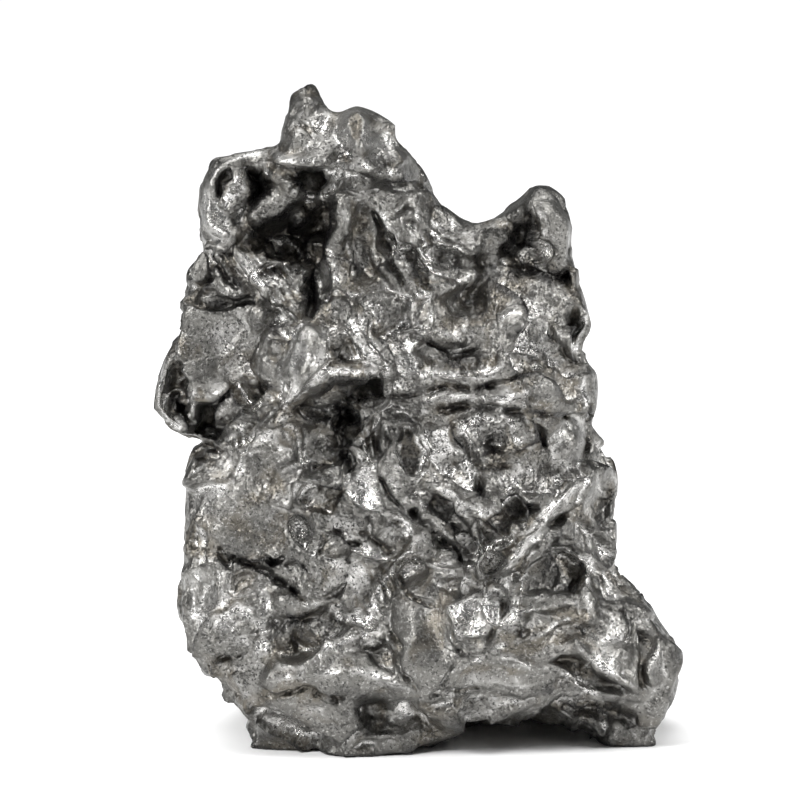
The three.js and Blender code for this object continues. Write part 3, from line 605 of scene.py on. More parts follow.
def bendThrough(points, closed=False, steps=5):
    # a smooth run of points through the given ones
    p = np.array(points, dtype=float)
    before, after = (p[-1], p[0]) if closed else (2 * p[0] - p[1], 2 * p[-1] - p[-2])
    last = np.array([p[1]]) if closed else np.empty((0, 2))
    p = np.vstack([before, p, after, last])
    t = np.linspace(0, 1, steps, endpoint=False)[:, None]
    run = []
    for a, b, c, d in zip(p, p[1:], p[2:], p[3:]):
        run.append(0.5 * (2 * b + (c - a) * t + (2 * a - 5 * b + 4 * c - d) * t**2
                          + (3 * b - 3 * c + d - a) * t**3))
    return np.vstack(run + ([] if closed else [p[-2:-1]]))


def nearLine(u, v, points, closed=False):
    # the distance to the line, its side (above 0 on the left), and the share of its length so far
    run = np.vstack([points, points[:1]]) if closed else points
    spans = np.hypot(*np.diff(run, axis=0).T)
    total, done = spans.sum(), 0.0
    nearest = np.full(u.shape, 1e9, np.float32)
    side, share = np.zeros_like(nearest), np.zeros_like(nearest)
    for (au, av), (bu, bv), span in zip(run, run[1:], spans):
        du, dv = (bu - au) / span, (bv - av) / span
        along = np.clip((u - au) * du + (v - av) * dv, 0, span)
        away = np.hypot(u - au - along * du, v - av - along * dv)
        closer = away < nearest
        cross = du * (v - av) - dv * (u - au)
        nearest = np.where(closer, away, nearest)
        side = np.where(closer, cross, side)
        share = np.where(closer, (done + along) / total, share)
        done += span
    return nearest, np.sign(side), share


def taper(share):
    return smoothStep(0, canvas["ends"], share) * smoothStep(0, canvas["ends"], 1 - share)


# Every kind of stroke gives its relief in mm, and how much lighter (above 0) or darker (below 0) it paints
# the metal: polish and patina, along with a painted highlight on ridge crests and painted shade in cracks
# and wells.
def ridge(u, v, height, left, right, points):
    away, side, share = nearLine(u, v, bendThrough(points))
    width = np.where(side > 0, left, right) * canvas["skirt"]
    strength = taper(share)
    relief = height * strength * np.exp(-(np.hypot(away, canvas["tip"]) - canvas["tip"]) / width)
    # a painted highlight along the crest, along with its polish
    return relief, min(1, 0.4 + 0.6 * height) * strength * np.exp(-((away / 0.3) ** 2))


def crack(u, v, depth, width, points):
    away, side, share = nearLine(u, v, bendThrough(points))
    dip = taper(share) * np.exp(-((away / (0.8 * width)) ** 2))
    # painted shade along the crack, along with its patina: the metal is painted darker there
    return -depth * dip, -min(1, depth) * dip


def insideOf(u, v, corners):
    away, side, share = nearLine(u, v, np.array(corners, dtype=float), closed=True)
    inside = np.zeros_like(away, dtype=bool)
    for (au, av), (bu, bv) in zip(corners, corners[1:] + corners[:1]):
        if av != bv:
            inside ^= ((av > v) != (bv > v)) & (u < au + (v - av) / (bv - av) * (bu - au))
    return np.where(inside, away, -away)


def well(u, v, depth, edge, corners):
    drop = smoothStep(-0.4 * edge, 1.2 * edge, insideOf(u, v, corners))
    # painted shade in the well, along with its patina: the metal is painted a little darker there
    return -depth * drop, -0.1 * max(0, depth) * drop


def ellipseAround(u, v, halfU, halfV, turn, middle):
    c, s = math.cos(math.radians(turn)), math.sin(math.radians(turn))
    u, v = u - middle[0], v - middle[1]
    return ((c * u + s * v) / halfU) ** 2 + ((c * v - s * u) / halfV) ** 2


def bowl(u, v, depth, halfU, halfV, turn, middle):
    return -depth * np.clip(1 - ellipseAround(u, v, halfU, halfV, turn, middle), 0, 1) ** 1.5, 0


def grain(u, v, height, spacing, direction, halfU, halfV, middle):
    c, s = math.cos(math.radians(direction)), math.sin(math.radians(direction))
    along = c * (u - middle[0]) + s * (v - middle[1])
    across = c * (v - middle[1]) - s * (u - middle[0])
    wobble = 0.5 * np.sin(along / (2.3 * spacing) + 1.7)
    wobble = wobble + 0.8 * np.sin(across / (3.1 * spacing) + along / (9 * spacing))
    lines = 1 - 2 * np.abs(np.sin(math.pi * across / spacing / 2 + wobble))
    lines += 0.6 * (1 - 2 * np.abs(np.sin(math.pi * across / spacing / 3.7 + 1.3 * wobble + 2)))
    lines *= np.clip(1 - ellipseAround(u, v, halfU, halfV, direction, middle), 0, 1) ** 0.7
    # painted light and shade: the raised grain lines are painted lighter and the furrows darker
    return height * lines, 0.5 * lines


def calm(u, v, share, halfU, halfV, turn, middle):
    return share * smoothStep(1.25, 0.7, ellipseAround(u, v, halfU, halfV, turn, middle)), 0


def tone(u, v, share, halfU, halfV, turn, middle):
    return 0, 0.8 * share * smoothStep(1.5, 0.4, ellipseAround(u, v, halfU, halfV, turn, middle))


strokeKinds = {
    "ridge": ridge,
    "crack": crack,
    "well": well,
    "bowl": bowl,
    "grain": grain,
    "calm": calm,
    "tone": tone,
}


def windowOf(kind, stroke):
    # the part of the canvas that a stroke can reach
    points = np.atleast_2d(stroke[-1])
    if kind == "ridge":
        reach = fadeOut[kind] * max(stroke[1:3]) * canvas["skirt"]
    elif kind in ("crack", "well"):
        reach = fadeOut[kind] * stroke[1]
    else:
        reach = fadeOut[kind] * max(stroke[-3:-1] if kind == "grain" else stroke[1:3])
    cut = []
    reachAll = reach + 2 * canvas["wander"] + 0.5
    for name, low, high, count in zip("uv", points.min(0), points.max(0), canvasSize):
        start = canvas[name][0]
        ends = (low - reachAll - start) / canvas["step"], (high + reachAll - start) / canvas["step"]
        cut.append(slice(int(np.clip(ends[0], 0, count)), int(np.clip(ends[1] + 1, 0, count))))
    return tuple(cut)


def drawStrokes(regions):
    relief, ground, lines = [np.zeros(canvasSize, np.float32) for part in range(3)]
    for region in regions:
        for kind, strokes in region.items():
            for stroke in strokes:
                cut = windowOf(kind, stroke)
                drawn, paintedLightAndWear = strokeKinds[kind](canvasU[cut], canvasV[cut], *stroke)
                if kind == "calm":
                    relief[cut] = np.maximum(relief[cut], drawn)
                else:
                    relief[cut] += force[kind] * (ragged if kind == "crack" else uneven)[cut] * drawn
                if kind in ("ridge", "crack", "grain"):
                    lines[cut] += ragged[cut] * paintedLightAndWear
                else:
                    ground[cut] += paintedLightAndWear
    lines = np.clip(lines, -1, 1)
    # lines keep their tone on light and dark ground alike
    ground = np.clip(ground, *canvas["toneRange"]) * (1 - np.abs(lines))
    return relief, ground + canvas["lineTone"] * lines


# Strokes that nobody planned, for the sides and the back, where the front strokes do not reach.
wild = {
    "folds": 46,
    "clefts": 34,
    "pans": 42,
    "knobs": 26,
    "grained": 14,
    "reach": (28.0, 66.0),
    "proud": 1.3,
}


def wildStrokes(rng):
    def spot():
        return rng.uniform(-wild["reach"][0], wild["reach"][0]), rng.uniform(0, wild["reach"][1])

    def run(length):
        u, v = spot()
        heading, bend = rng.uniform(0, 2 * math.pi), rng.normal(0, 0.35)
        points = [(u, v)]
        for leg in range(4):
            u, v = u + length / 4 * math.cos(heading), v + length / 4 * math.sin(heading)
            points.append((u, v))
            heading += bend + rng.normal(0, 0.3)
        return points

    pick = rng.uniform
    return {
        "ridge": [(pick(0.6, 1.7), pick(0.4, 1.5), pick(0.35, 0.8), run(pick(5, 15)))
                  for i in range(wild["folds"])],
        "crack": [(pick(0.5, 1.7), pick(0.22, 0.5), run(pick(3, 10)))
                  for i in range(wild["clefts"])],
        "bowl": [(pick(0.8, 2.4), pick(1.2, 4.2), pick(1.2, 4.2), pick(0, 90), spot())
                 for i in range(wild["pans"])]
        + [(-pick(0.5, 1.5), pick(0.8, 2.6), pick(0.8, 2.6), pick(0, 90), spot())
           for i in range(wild["knobs"])],
        "grain": [(pick(0.08, 0.2), pick(0.4, 0.7), pick(0, 180), pick(2, 5), pick(1, 3), spot())
                  for i in range(wild["grained"])],
    }


def clayAxes():
    low = [c / mm - clay["margin"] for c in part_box("meteorite")[0]]
    high = [c / mm + clay["margin"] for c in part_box("meteorite")[1]]
    first = [math.floor(c / clay["voxel"]) for c in low]
    last = [math.ceil(c / clay["voxel"]) for c in high]
    return first, [np.arange(a, b, dtype=np.float32) * clay["voxel"] for a, b in zip(first, last)]


def distanceToFrame(first, axes):
    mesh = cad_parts["meteorite"].data
    points = np.zeros(len(mesh.vertices) * 3, np.float32)
    mesh.vertices.foreach_get("co", points)
    mesh.calc_loop_triangles()
    triangles = np.zeros(len(mesh.loop_triangles) * 3, np.int32)
    mesh.loop_triangles.foreach_get("vertices", triangles)
    grid = vdb.FloatGrid.createLevelSetFromPolygons(
        (points / mm).reshape(-1, 3), triangles=triangles.astype(np.uint32).reshape(-1, 3),
        transform=vdb.createLinearTransform(voxelSize=clay["voxel"]), halfWidth=clay["band"])
    field = np.zeros([len(a) for a in axes], np.float32)
    grid.copyToArray(field, ijk=first)
    return field


def blurred(field, sigma):
    reach = max(1, int(2.6 * sigma))
    weights = np.exp(-0.5 * (np.arange(-reach, reach + 1) / sigma) ** 2)
    weights /= weights.sum()
    for axis in range(3):
        padding = [(0, 0)] * 3
        padding[axis] = (reach, reach)
        padded = np.pad(field, padding, mode="edge")
        count = field.shape[axis]
        field = sum(np.float32(w) * np.take(padded, range(i, i + count), axis)
                    for i, w in enumerate(weights))
    return field


def frontness(field):
    # 1 where the surface faces the viewer, 0 where it is turned sideways, -1 where it faces away
    gy, gz = np.gradient(field, clay["voxel"], axis=1), np.gradient(field, clay["voxel"], axis=2)
    toward = -gy * math.cos(look["elevation"]) + gz * math.sin(look["elevation"])
    return toward.astype(np.float32)


def seenHeight(y, z):
    # how high on the canvas a point is seen
    return z * math.cos(look["elevation"]) + y * math.sin(look["elevation"]) + look["footLift"]


def lookUp(drawing, u, v):
    # the drawing's value at every u, and at every v of a table
    step = canvas["step"]
    fu = np.clip((u - canvas["u"][0]) / step, 0, canvasSize[0] - 1.001)
    iu = fu.astype(int)
    tu = (fu - iu)[:, None]
    rows = drawing[iu] * (1 - tu) + drawing[iu + 1] * tu
    fv = np.clip((v - canvas["v"][0]) / step, 0, canvasSize[1] - 1.001)
    iv = fv.astype(int)
    tv = (fv - iv).astype(np.float32)
    return rows[:, iv] * (1 - tv) + rows[:, iv + 1] * tv


def laterOf(a, b, width):
    # the greater of two distances, rounded where they are alike
    share = np.clip(0.5 + (a - b) / width, 0, 1)
    return share * a + (1 - share) * b + 0.5 * width * share * (1 - share)


def softened(drawing, sigma):
    reach = int(2.6 * sigma) + 1
    weights = np.exp(-0.5 * (np.arange(-reach, reach + 1) / sigma) ** 2)
    for axis in range(2):
        drawing = np.apply_along_axis(np.convolve, axis, drawing, weights / weights.sum(), "same")
    return drawing.astype(np.float32)


frontRelief, frontPaintedLightAndWear = drawStrokes(frontStrokes + [{"tone": tones}])
frontBroad = softened(frontRelief, canvas["broad"] / canvas["step"])
frontFine = frontRelief - frontBroad
# a painted highlight on the edges and painted shade at their feet, along with their polish and dirt
edgeRise = frontRelief - softened(frontRelief, canvas["edgePolishAndShadeReach"] / canvas["step"])
frontPaintedLightAndWear += canvas["edgePolishAndShade"] * np.clip(edgeRise / canvas["edgePolishAndShadeRise"], -1, 1)
frontCalm = drawStrokes([{"calm": calmPlaces}])[0]
smoothOutline = [tuple(p) for p in bendThrough(outline, closed=True, steps=3)]
# how far inside the outline, in mm
frontRoom = insideOf(canvasU - drift[0], canvasV - drift[1], smoothOutline)
print("strokes drawn")


def shapeClay():
    first, axes = clayAxes()
    field = distanceToFrame(first, axes)
    floorLayer = int(np.argmax(axes[2] > 0.3))
    # the feet run on below the floor while the clay melts
    field[:, :, :floorLayer] = field[:, :, floorLayer : floorLayer + 1]
    field = blurred(field, clay["melt"] / clay["voxel"])
    print("clay block", field.shape)

    toward = frontness(field)
    front = smoothStep(*clay["frontTurn"], toward)
    back = smoothStep(*clay["frontTurn"], -toward)
    sideways = np.gradient(field, clay["voxel"], axis=0).astype(np.float32)
    rightSide = smoothStep(*clay["sideTurn"], sideways)
    leftSide = smoothStep(*clay["sideTurn"], -sideways)

    x, y, z = axes
    shift = np.zeros_like(field)
    v = seenHeight(y[:, None], z)
    inside = lookUp(frontRoom, x, v)
    room = clay["rimShare"] + (1 - clay["rimShare"]) * smoothStep(0, clay["rimRoom"], inside)
    shift += front * room * lookUp(frontBroad, x, v)
    rng = np.random.default_rng(clay["seed"])
    upright = np.broadcast_to(z, (len(y), len(z)))
    shift += back * np.minimum(lookUp(drawStrokes([wildStrokes(rng)])[0], x, upright), wild["proud"])
    reliefs = []
    for side in (rightSide * (1 - 0.6 * front), leftSide * (1 - 0.6 * front)):
        drawn = softened(drawStrokes([wildStrokes(rng)])[0], 0.4 / canvas["step"])
        relief = np.clip(lookUp(drawn, y, z), -2.4 * wild["proud"], 0.5 * wild["proud"])  # seen along X
        pressed = np.maximum(relief, -wild["proud"])[None]
        shift += side * clay["sideShare"] * (1 - 0.5 * back) * pressed
        reliefs.append(relief)
    print("strokes pressed in")

    swell = sides["swell"] * (1 - smoothStep(*sides["swellTurn"], np.abs(toward)))
    relief = np.where(x[:, None, None] > 0, *reliefs)
    carved = sides["carve"] * np.clip(sides["level"] - relief, 0, sides["deepest"])
    bend = np.minimum(sides["bend"] * (y - sides["bendMiddle"]) ** 2, sides["bendMost"])
    carved = (carved + bend[:, None]) * (1 - sides["tipsKept"] * smoothStep(*sides["tips"], z))
    past = carved - inside
    field = field - swell
    melted = laterOf(field, past, sides["corner"])
    field = laterOf(melted - shift, past - 0.1, sides["edge"])
    field = np.maximum(field, -z + np.zeros_like(field))
    return first, axes, field, melted, toward


def sampled(block, axes, points):
    # the block's value at these points, which are in mm
    f = [np.clip((p - a[0]) / clay["voxel"], 0, len(a) - 1.001) for p, a in zip(points.T, axes)]
    i = [c.astype(int) for c in f]
    t = [(c - k).astype(np.float32) for c, k in zip(f, i)]
    total = np.zeros(len(points), np.float32)
    for corner in np.ndindex(2, 2, 2):
        weight = np.ones(len(points), np.float32)
        for c, share in zip(corner, t):
            weight = weight * (share if c else 1 - share)
        total += weight * block[tuple(k + c for k, c in zip(i, corner))]
    return total


def sampledDrawing(drawing, points):
    # the drawing's value where these points are seen from the front
    seen = (points[:, 0], seenHeight(points[:, 1], points[:, 2]))
    f = [np.clip((a - canvas[k][0]) / canvas["step"], 0, n - 1.001)
         for a, k, n in zip(seen, "uv", canvasSize)]
    (i, j), (s, t) = [c.astype(int) for c in f], [c % 1 for c in f]
    low = drawing[i, j] * (1 - s) + drawing[i + 1, j] * s
    return low * (1 - t) + (drawing[i, j + 1] * (1 - s) + drawing[i + 1, j + 1] * s) * t


def meshOf(name, points, quads):
    mesh = bpy.data.meshes.new(name)
    mesh.vertices.add(len(points))
    mesh.vertices.foreach_set("co", points.astype(np.float32).ravel())
    mesh.loops.add(quads.size)
    mesh.loops.foreach_set("vertex_index", quads.astype(np.int32).ravel())
    mesh.polygons.add(len(quads))
    mesh.polygons.foreach_set("loop_start", np.arange(0, quads.size, 4, dtype=np.int32))
    mesh.update(calc_edges=True)
    return mesh


def biggestPiece(points, quads):
    # crumbs and bubbles are left out: each corner takes the lowest number that reaches it along the faces
    label = np.arange(len(points))
    while True:
        lowest = label[quads].min(1)
        new = label.copy()
        for corner in range(4):
            np.minimum.at(new, quads[:, corner], lowest)
        new = new[new]
        if (new == label).all():
            break
        label = new
    keep = label == np.bincount(label).argmax()
    number = np.cumsum(keep) - 1
    return points[keep], number[quads[keep[quads[:, 0]]]]


def bends(points, length, rng, waves=8):
    # smooth uneven movement of points, about one either way
    moved = np.zeros_like(points)
    for wave in range(waves):
        heading = rng.normal(0, 1, 3)
        heading *= 2 * math.pi / (length * rng.uniform(0.6, 1.7) * np.linalg.norm(heading))
        moved += np.sin(points @ heading + rng.uniform(0, 2 * math.pi))[:, None] * rng.normal(0, 1, 3)
    return moved / math.sqrt(waves)


def plates(points, layer, rng):
    # each point belongs to the nearest of a scatter of seeds, one in every cell of a lattice
    repeat = 24
    seeds = rng.random((repeat, repeat, repeat, 6))
    spot = (points + 0.22 * layer["cell"] * bends(points, 1.4 * layer["cell"], rng)) / layer["cell"]
    home = np.floor(spot).astype(int)
    nearest, second = np.full(len(spot), 9.0), np.full(len(spot), 9.0)
    level, nextLevel = np.zeros(len(spot)), np.zeros(len(spot))
    for step in np.ndindex(3, 3, 3):
        cell = home + step - 1
        seed = seeds[tuple((cell % repeat).T)]
        away = spot - cell - seed[:, :3]
        reach = (away**2).sum(1)
        height = layer["tilt"] * (away * (seed[:, 3:] - 0.5)).sum(1) + layer["dish"] * (reach - 0.3)
        nearer, between = reach < nearest, (reach >= nearest) & (reach < second)
        second = np.where(nearer, nearest, np.where(between, reach, second))
        nextLevel = np.where(nearer, level, np.where(between, height, nextLevel))
        nearest, level = np.where(nearer, reach, nearest), np.where(nearer, height, level)
    own = 0.5 + 0.5 * smoothStep(0, layer["seam"], np.sqrt(second) - np.sqrt(nearest))
    return layer["cell"] * (own * level + (1 - own) * nextLevel)


def crumpled(points, axes, field, toward):
    slopes = [sampled(np.gradient(blurred(field, 2.0), axis=axis), axes, points) for axis in range(3)]
    normals = np.stack(slopes, 1) / (np.linalg.norm(slopes, axis=0)[:, None] + 1e-9)
    facing = sampled(toward, axes, points)
    front, back = smoothStep(*skin["front"], facing), smoothStep(*skin["back"], -facing)
    calm = 1 - front * sampledDrawing(frontCalm, points)
    height = np.zeros(len(points))
    for layer in crumple:
        rng = np.random.default_rng(layer["seed"])
        strength = np.stack([front, back, 1 - front - back], 1) @ layer["strengths"]
        height += strength * calm * plates(points, layer, rng)
    height += front * sampledDrawing(frontFine, points)
    room = smoothStep(0, skin["rimRoom"], sampledDrawing(frontRoom, points))
    kept = np.where(height > 0, skin["rimRaised"], skin["rimSunk"])
    height *= kept + (1 - kept) * room
    height *= smoothStep(0, skin["foot"], points[:, 2])
    points = points + normals * np.minimum(height, skin["highest"])[:, None]
    points[:, 2] = np.maximum(points[:, 2], 0)
    return points


def pointsOf(mesh):
    points = np.zeros(len(mesh.vertices) * 3, np.float32)
    mesh.vertices.foreach_get("co", points)
    return points.reshape(-1, 3).astype(float) / mm


def fineFront(mesh, onFront):
    # the front gets faces of half the size
    shape = bmesh.new()
    shape.from_mesh(mesh)
    chosen = [e for e in shape.edges if onFront[e.verts[0].index] and onFront[e.verts[1].index]]
    bmesh.ops.subdivide_edges(shape, edges=chosen, cuts=1, use_grid_fill=True)
    bmesh.ops.triangulate(shape, faces=shape.faces)
    shape.to_mesh(mesh)
    shape.free()


def wornLump(first, axes, field, toward):
    grid = vdb.FloatGrid(float(clay["band"]))
    grid.transform = vdb.createLinearTransform(voxelSize=clay["voxel"])
    grid.gridClass = vdb.GridClass.LEVEL_SET
    grid.copyFromArray(field, ijk=first)
    points, quads = grid.convertToQuads(0.0)
    points, quads = biggestPiece(points, quads.astype(np.int64))
    lump = bpy.data.objects.new("meteorite_lump", meshOf("meteorite_lump", points * mm, quads))
    bpy.context.scene.collection.objects.link(lump)
    fineFront(lump.data, sampled(toward, axes, points) > skin["fineFrom"])
    points = crumpled(pointsOf(lump.data), axes, field, toward)
    lump.data.vertices.foreach_set("co", (points * mm).astype(np.float32).ravel())
    print("skin", len(points), "points")
    thin = lump.modifiers.new("thin", "DECIMATE")
    thin.ratio = min(1, clay["triangles"] / len(lump.data.polygons))
    thin.use_collapse_triangulate = True
    plain = bpy.data.meshes.new_from_object(lump.evaluated_get(bpy.context.evaluated_depsgraph_get()))
    lump.modifiers.clear()
    lump.data = plain
    plain.name = "meteorite_lump"
    corners = pointsOf(plain)
    corners[:, 2] = np.maximum(corners[:, 2], 0)
    plain.vertices.foreach_set("co", (corners * mm).astype(np.float32).ravel())
    plain.flip_normals()  # the quads come inside out
    plain.shade_smooth()
    print("lump", len(plain.polygons), "faces")
    return lump


def addMeasure(lump, name, values):
    lump.data.attributes.new(name, "FLOAT", "POINT").data.foreach_set("value", values.astype(np.float32))


def relaxed(points, edges, times):
    # every point moved to the middle of its neighbours, so many times over
    count = np.bincount(edges.ravel(), minlength=len(points))[:, None]
    for turn in range(times):
        total = np.zeros_like(points)
        for axis in range(3):
            for a, b in (edges.T, edges.T[::-1]):
                total[:, axis] += np.bincount(a, points[b, axis], minlength=len(points))
        points = total / count
    return points


def measureLump(lump, axes, melted, toward):
    mesh = lump.data
    points, normals = pointsOf(mesh), np.zeros(len(mesh.vertices) * 3)
    mesh.vertices.foreach_get("normal", normals)
    edges = np.zeros(len(mesh.edges) * 2, np.int32)
    mesh.edges.foreach_get("vertices", edges)
    normals, edges = normals.reshape(-1, 3), edges.reshape(-1, 2)
    # how deep each point lies in its near and its wider surroundings, in mm
    addMeasure(lump, "nook", ((relaxed(points, edges, 4) - points) * normals).sum(1))
    addMeasure(lump, "dell", ((relaxed(points, edges, 50) - points) * normals).sum(1))
    addMeasure(lump, "sunk", -sampled(melted, axes, points))
    facing = smoothStep(*skin["front"], sampled(toward, axes, points))
    addMeasure(lump, "paintedLightAndWear", facing * sampledDrawing(frontPaintedLightAndWear, points))
    addMeasure(lump, "calm", facing * sampledDrawing(frontCalm, points))


first, axes, field, melted, toward = shapeClay()
lump = wornLump(first, axes, field, toward)
measureLump(lump, axes, melted, toward)
print("measured")


class Wire:
    # a socket that can be used in sums

    def __init__(self, sheet, socket):
        self.sheet, self.socket = sheet, socket

    def sum(self, operation, first, second):
        return self.sheet.node("ShaderNodeMath", {"operation": operation}, {0: first, 1: second})

    def __add__(self, other):
        return self.sum("ADD", self, other)

    def __sub__(self, other):
        return self.sum("SUBTRACT", self, other)

    def __rsub__(self, other):
        return self.sum("SUBTRACT", other, self)

    def __mul__(self, other):
        return self.sum("MULTIPLY", self, other)

    __radd__, __rmul__ = __add__, __mul__

    def between(self, low, high):
        # 0 at low, 1 at high, smooth in between
        ends = {"Value": self, "From Min": low, "From Max": high}
        return self.sheet.node("ShaderNodeMapRange", {"interpolation_type": "SMOOTHSTEP"}, ends)


class Sheet:
    # the node sheet of one material

    def __init__(self, name):
        self.material = bpy.data.materials.new(name)
        self.material.use_nodes = True
        self.tree = self.material.node_tree
        self.tree.nodes.clear()

    def node(self, kind, settings=None, sockets=None, out=0):
        made = self.tree.nodes.new(kind)
        for key, value in (settings or {}).items():
            setattr(made, key, value)
        for key, value in (sockets or {}).items():
            if isinstance(value, Wire):
                self.tree.links.new(value.socket, made.inputs[key])
            else:
                made.inputs[key].default_value = value
        return Wire(self, made.outputs[out]) if made.outputs else None

    def mixed(self, share, low, high):
        # a colour between low and high
        low, high = [c if isinstance(c, Wire) else (*c, 1) for c in (low, high)]
        sockets = {"Factor": share, "A": low, "B": high}
        return self.node("ShaderNodeMix", {"data_type": "RGBA"}, sockets, "Result")

    def finish(self, **sockets):
        surface = self.node("ShaderNodeBsdfPrincipled", {}, sockets)
        self.node("ShaderNodeOutputMaterial", {}, {"Surface": surface})
        return self.material


nickelIron = {
    "bright": (0.62, 0.612, 0.595),
    "worn": (0.17, 0.166, 0.155),
    # the patina colour, also used for painted shade in hollows and pits
    "patinaAndShade": (0.045, 0.044, 0.043),
    "rust": (0.12, 0.1, 0.07),
    "polished": 0.21,
    "dull": 0.36,
}


def nickelIronMaterial():
    sheet = Sheet("nickelIron")
    place = sheet.node("ShaderNodeTexCoord", out="Object")
    inMm = sheet.node("ShaderNodeVectorMath", {"operation": "SCALE"}, {0: place, "Scale": 1 / mm})

    def noise(scale, detail=2.0, roughness=0.5, distortion=0.0):
        return sheet.node("ShaderNodeTexNoise", {}, {
            "Vector": inMm,
            "Scale": scale,
            "Detail": detail,
            "Roughness": roughness,
            "Distortion": distortion,
        })

    def vectors(operation, first, second, out=0):
        return sheet.node("ShaderNodeVectorMath", {"operation": operation}, {0: first, 1: second}, out)

    def measure(name):
        return sheet.node("ShaderNodeAttribute", {"attribute_name": name}, out="Fac")

    nook, dell, sunk = measure("nook"), measure("dell"), measure("sunk")
    paintedLightAndWear, calm = measure("paintedLightAndWear"), measure("calm")
    broad, middling, fine = noise(0.16, 3.0), noise(0.8, 4.0, 0.6, 0.8), noise(3.0, 3.0, 0.7, 0.4)
    bent = sheet.node("ShaderNodeVectorMath", {"operation": "MULTIPLY_ADD"}, {
        0: sheet.node("ShaderNodeTexNoise", {}, {"Vector": inMm, "Scale": 0.7, "Detail": 3.0}, "Color"),
        1: (1.4, 1.4, 1.4), 2: inMm})

    def facets(scale):
        # plates tilted at random: their height in mm, and a painted light for each, lighter the more it
        # tilts one way, that may be below 0
        kind, seed = "ShaderNodeTexVoronoi", {"Vector": bent, "Scale": scale}
        offset = vectors("SUBTRACT", bent, sheet.node(kind, {}, seed, "Position"))
        tilt = vectors("SUBTRACT", sheet.node(kind, {}, seed, "Color"), (0.5, 0.5, 0.5))
        height = vectors("DOT_PRODUCT", offset, tilt, "Value")
        return height, vectors("DOT_PRODUCT", tilt, (0.6, -0.3, 0.5), "Value")

    (wide, wideFacetLight), (small, smallFacetLight), (tiny, tinyFacetLight) = facets(0.45), facets(1.2), facets(3.2)
    busy = 1 - calm * 0.75
    # painted light on the facets by their tilt, less where the metal is worn smooth
    facetPaintedLight = (wideFacetLight * 0.8 + smallFacetLight * 0.4 + tinyFacetLight * 0.25) * busy
    # random mottling with the facets' painted light
    mottleAndFacetLight = (middling - 0.5) * 0.7 + (broad - 0.5) * 0.7 + facetPaintedLight
    # polish with painted light and shade: lighter or darker by how deep each point lies, by the strokes'
    # light and tone, by mottling and by the facets' painted light
    polishAndPaintedLight = (nook * 4 + dell * 0.5 + paintedLightAndWear * 1.2 + mottleAndFacetLight * 0.7).between(-0.2, 1.6)
    # patina with painted shade: darker in carved hollows and where the strokes paint shade, lighter where
    # they paint light
    patinaAndPaintedShade = (sunk * 0.1 - dell * 0.2 - paintedLightAndWear * 1.0 - nook * 3 - mottleAndFacetLight * 0.5).between(0, 1.5)
    pits = (noise(3.6, 3.0, 0.7, 0.3) + (broad - 0.5) * 0.25).between(0.56, 0.66)
    brown = (noise(0.22, 2.0, 0.5, 0.8) - paintedLightAndWear * 0.14).between(0.5, 0.66)
    color = sheet.mixed(polishAndPaintedLight, nickelIron["worn"], nickelIron["bright"])
    color = sheet.mixed(brown * 0.5 * (1 - polishAndPaintedLight), color, nickelIron["rust"])
    color = sheet.mixed(fine.between(0.52, 0.7) * 0.5, color, nickelIron["bright"])
    color = sheet.mixed(pits * 0.85, color, nickelIron["patinaAndShade"])
    color = sheet.mixed(patinaAndPaintedShade * 0.92, color, nickelIron["patinaAndShade"])
    smoother = nickelIron["dull"] - nickelIron["polished"]
    roughness = nickelIron["dull"] - smoother * polishAndPaintedLight + 0.2 * (fine - 0.5) - patinaAndPaintedShade * 0.08
    relief = (wide * 0.42 + small * 0.26 + tiny * 0.14 + middling * 0.08) * busy + fine * 0.09 - pits * 0.1
    normal = sheet.node("ShaderNodeBump", {}, {"Strength": 1.0, "Distance": mm, "Height": relief})
    surface = {"Base Color": color, "Metallic": 1.0, "Roughness": roughness, "Normal": normal}
    return sheet.finish(**surface)


lump.data.materials.append(nickelIronMaterial())
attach(lump, "root")
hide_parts("meteorite")

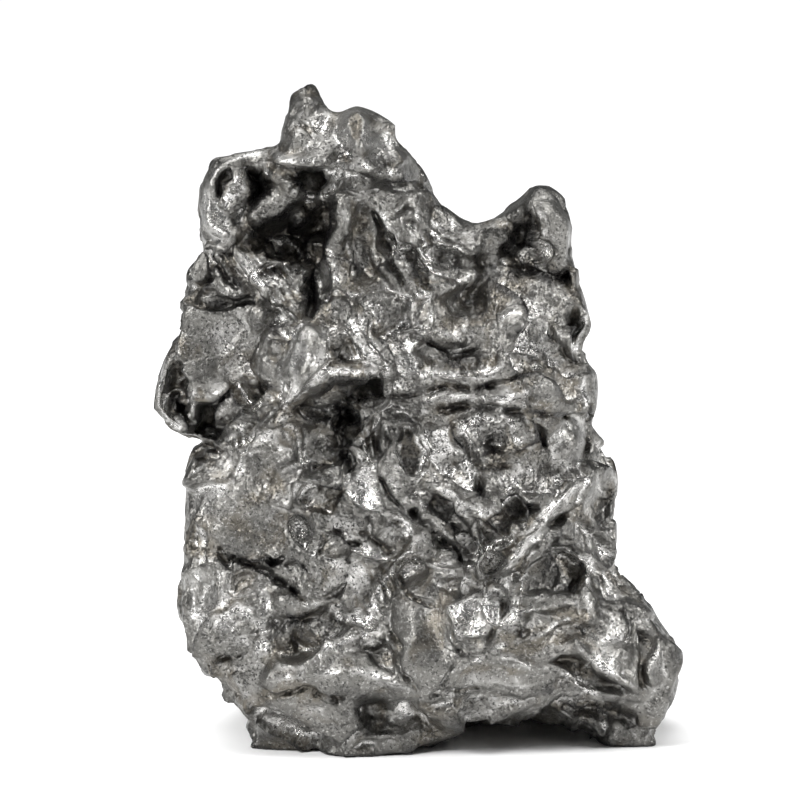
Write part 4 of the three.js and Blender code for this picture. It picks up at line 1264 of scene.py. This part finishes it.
# Floor, light and camera.
studio = {
    "floorSize": 8.0,
    "floor": (0.95, 0.95, 0.95),
    "world": (0.60, 0.61, 0.62),
    "worldStrength": 0.2,
    "sky": {"strength": 3.0, "angle": 60.0, "from": (-0.15, 0.12, 1.0)},
    "lights": [
        # name, place, size, power in watts
        ("key", (-0.42, -0.36, 0.46), 0.2, 4.7),
        ("side", (0.6, -0.2, 0.4), 0.2, 4.2),
    ],
}


def aimAt(thing, place, target):
    thing.location = place
    thing.rotation_euler = (Vector(target) - Vector(place)).to_track_quat("-Z", "Y").to_euler()
    bpy.context.scene.collection.objects.link(thing)


def makeStudio():
    half = studio["floorSize"] / 2
    mesh = bpy.data.meshes.new("floor")
    corners = [(-half, -half, 0), (half, -half, 0), (half, half, 0), (-half, half, 0)]
    mesh.from_pydata(corners, [], [(0, 1, 2, 3)])
    floor = bpy.data.objects.new("floor", mesh)
    bpy.context.scene.collection.objects.link(floor)
    paper = {"Base Color": (*studio["floor"], 1), "Roughness": 1.0, "Specular IOR Level": 0.0}
    mesh.materials.append(Sheet("palePaper").finish(**paper))
    for name, place, size, power in studio["lights"]:
        light = bpy.data.lights.new(name, "AREA")
        light.shape, light.size, light.energy = "DISK", size, power
        aimAt(bpy.data.objects.new(name, light), place, (0, 0, 0.03))
    sky = bpy.data.lights.new("sky", "SUN")
    sky.energy, sky.angle = studio["sky"]["strength"], math.radians(studio["sky"]["angle"])
    aimAt(bpy.data.objects.new("sky", sky), studio["sky"]["from"], (0, 0, 0))
    world = bpy.data.worlds.new("studio")
    world.use_nodes = True
    background = world.node_tree.nodes["Background"]
    background.inputs["Color"].default_value = (*studio["world"], 1)
    background.inputs["Strength"].default_value = studio["worldStrength"]
    bpy.context.scene.world = world


def makeCamera():
    up, across = math.sin(look["elevation"]), math.cos(look["elevation"])
    u, v = look["middle"]
    target = Vector((u, 0, (v - look["footLift"]) / across)) * mm
    lens = bpy.data.cameras.new("camera")
    lens.lens = lens.sensor_width * look["distance"] / look["width"]
    camera = bpy.data.objects.new("camera", lens)
    aimAt(camera, target + Vector((0, -across, up)) * look["distance"] * mm, target)
    bpy.context.scene.camera = camera


makeStudio()
makeCamera()
bpy.context.scene.view_settings.view_transform = "Standard"
print("studio ready")
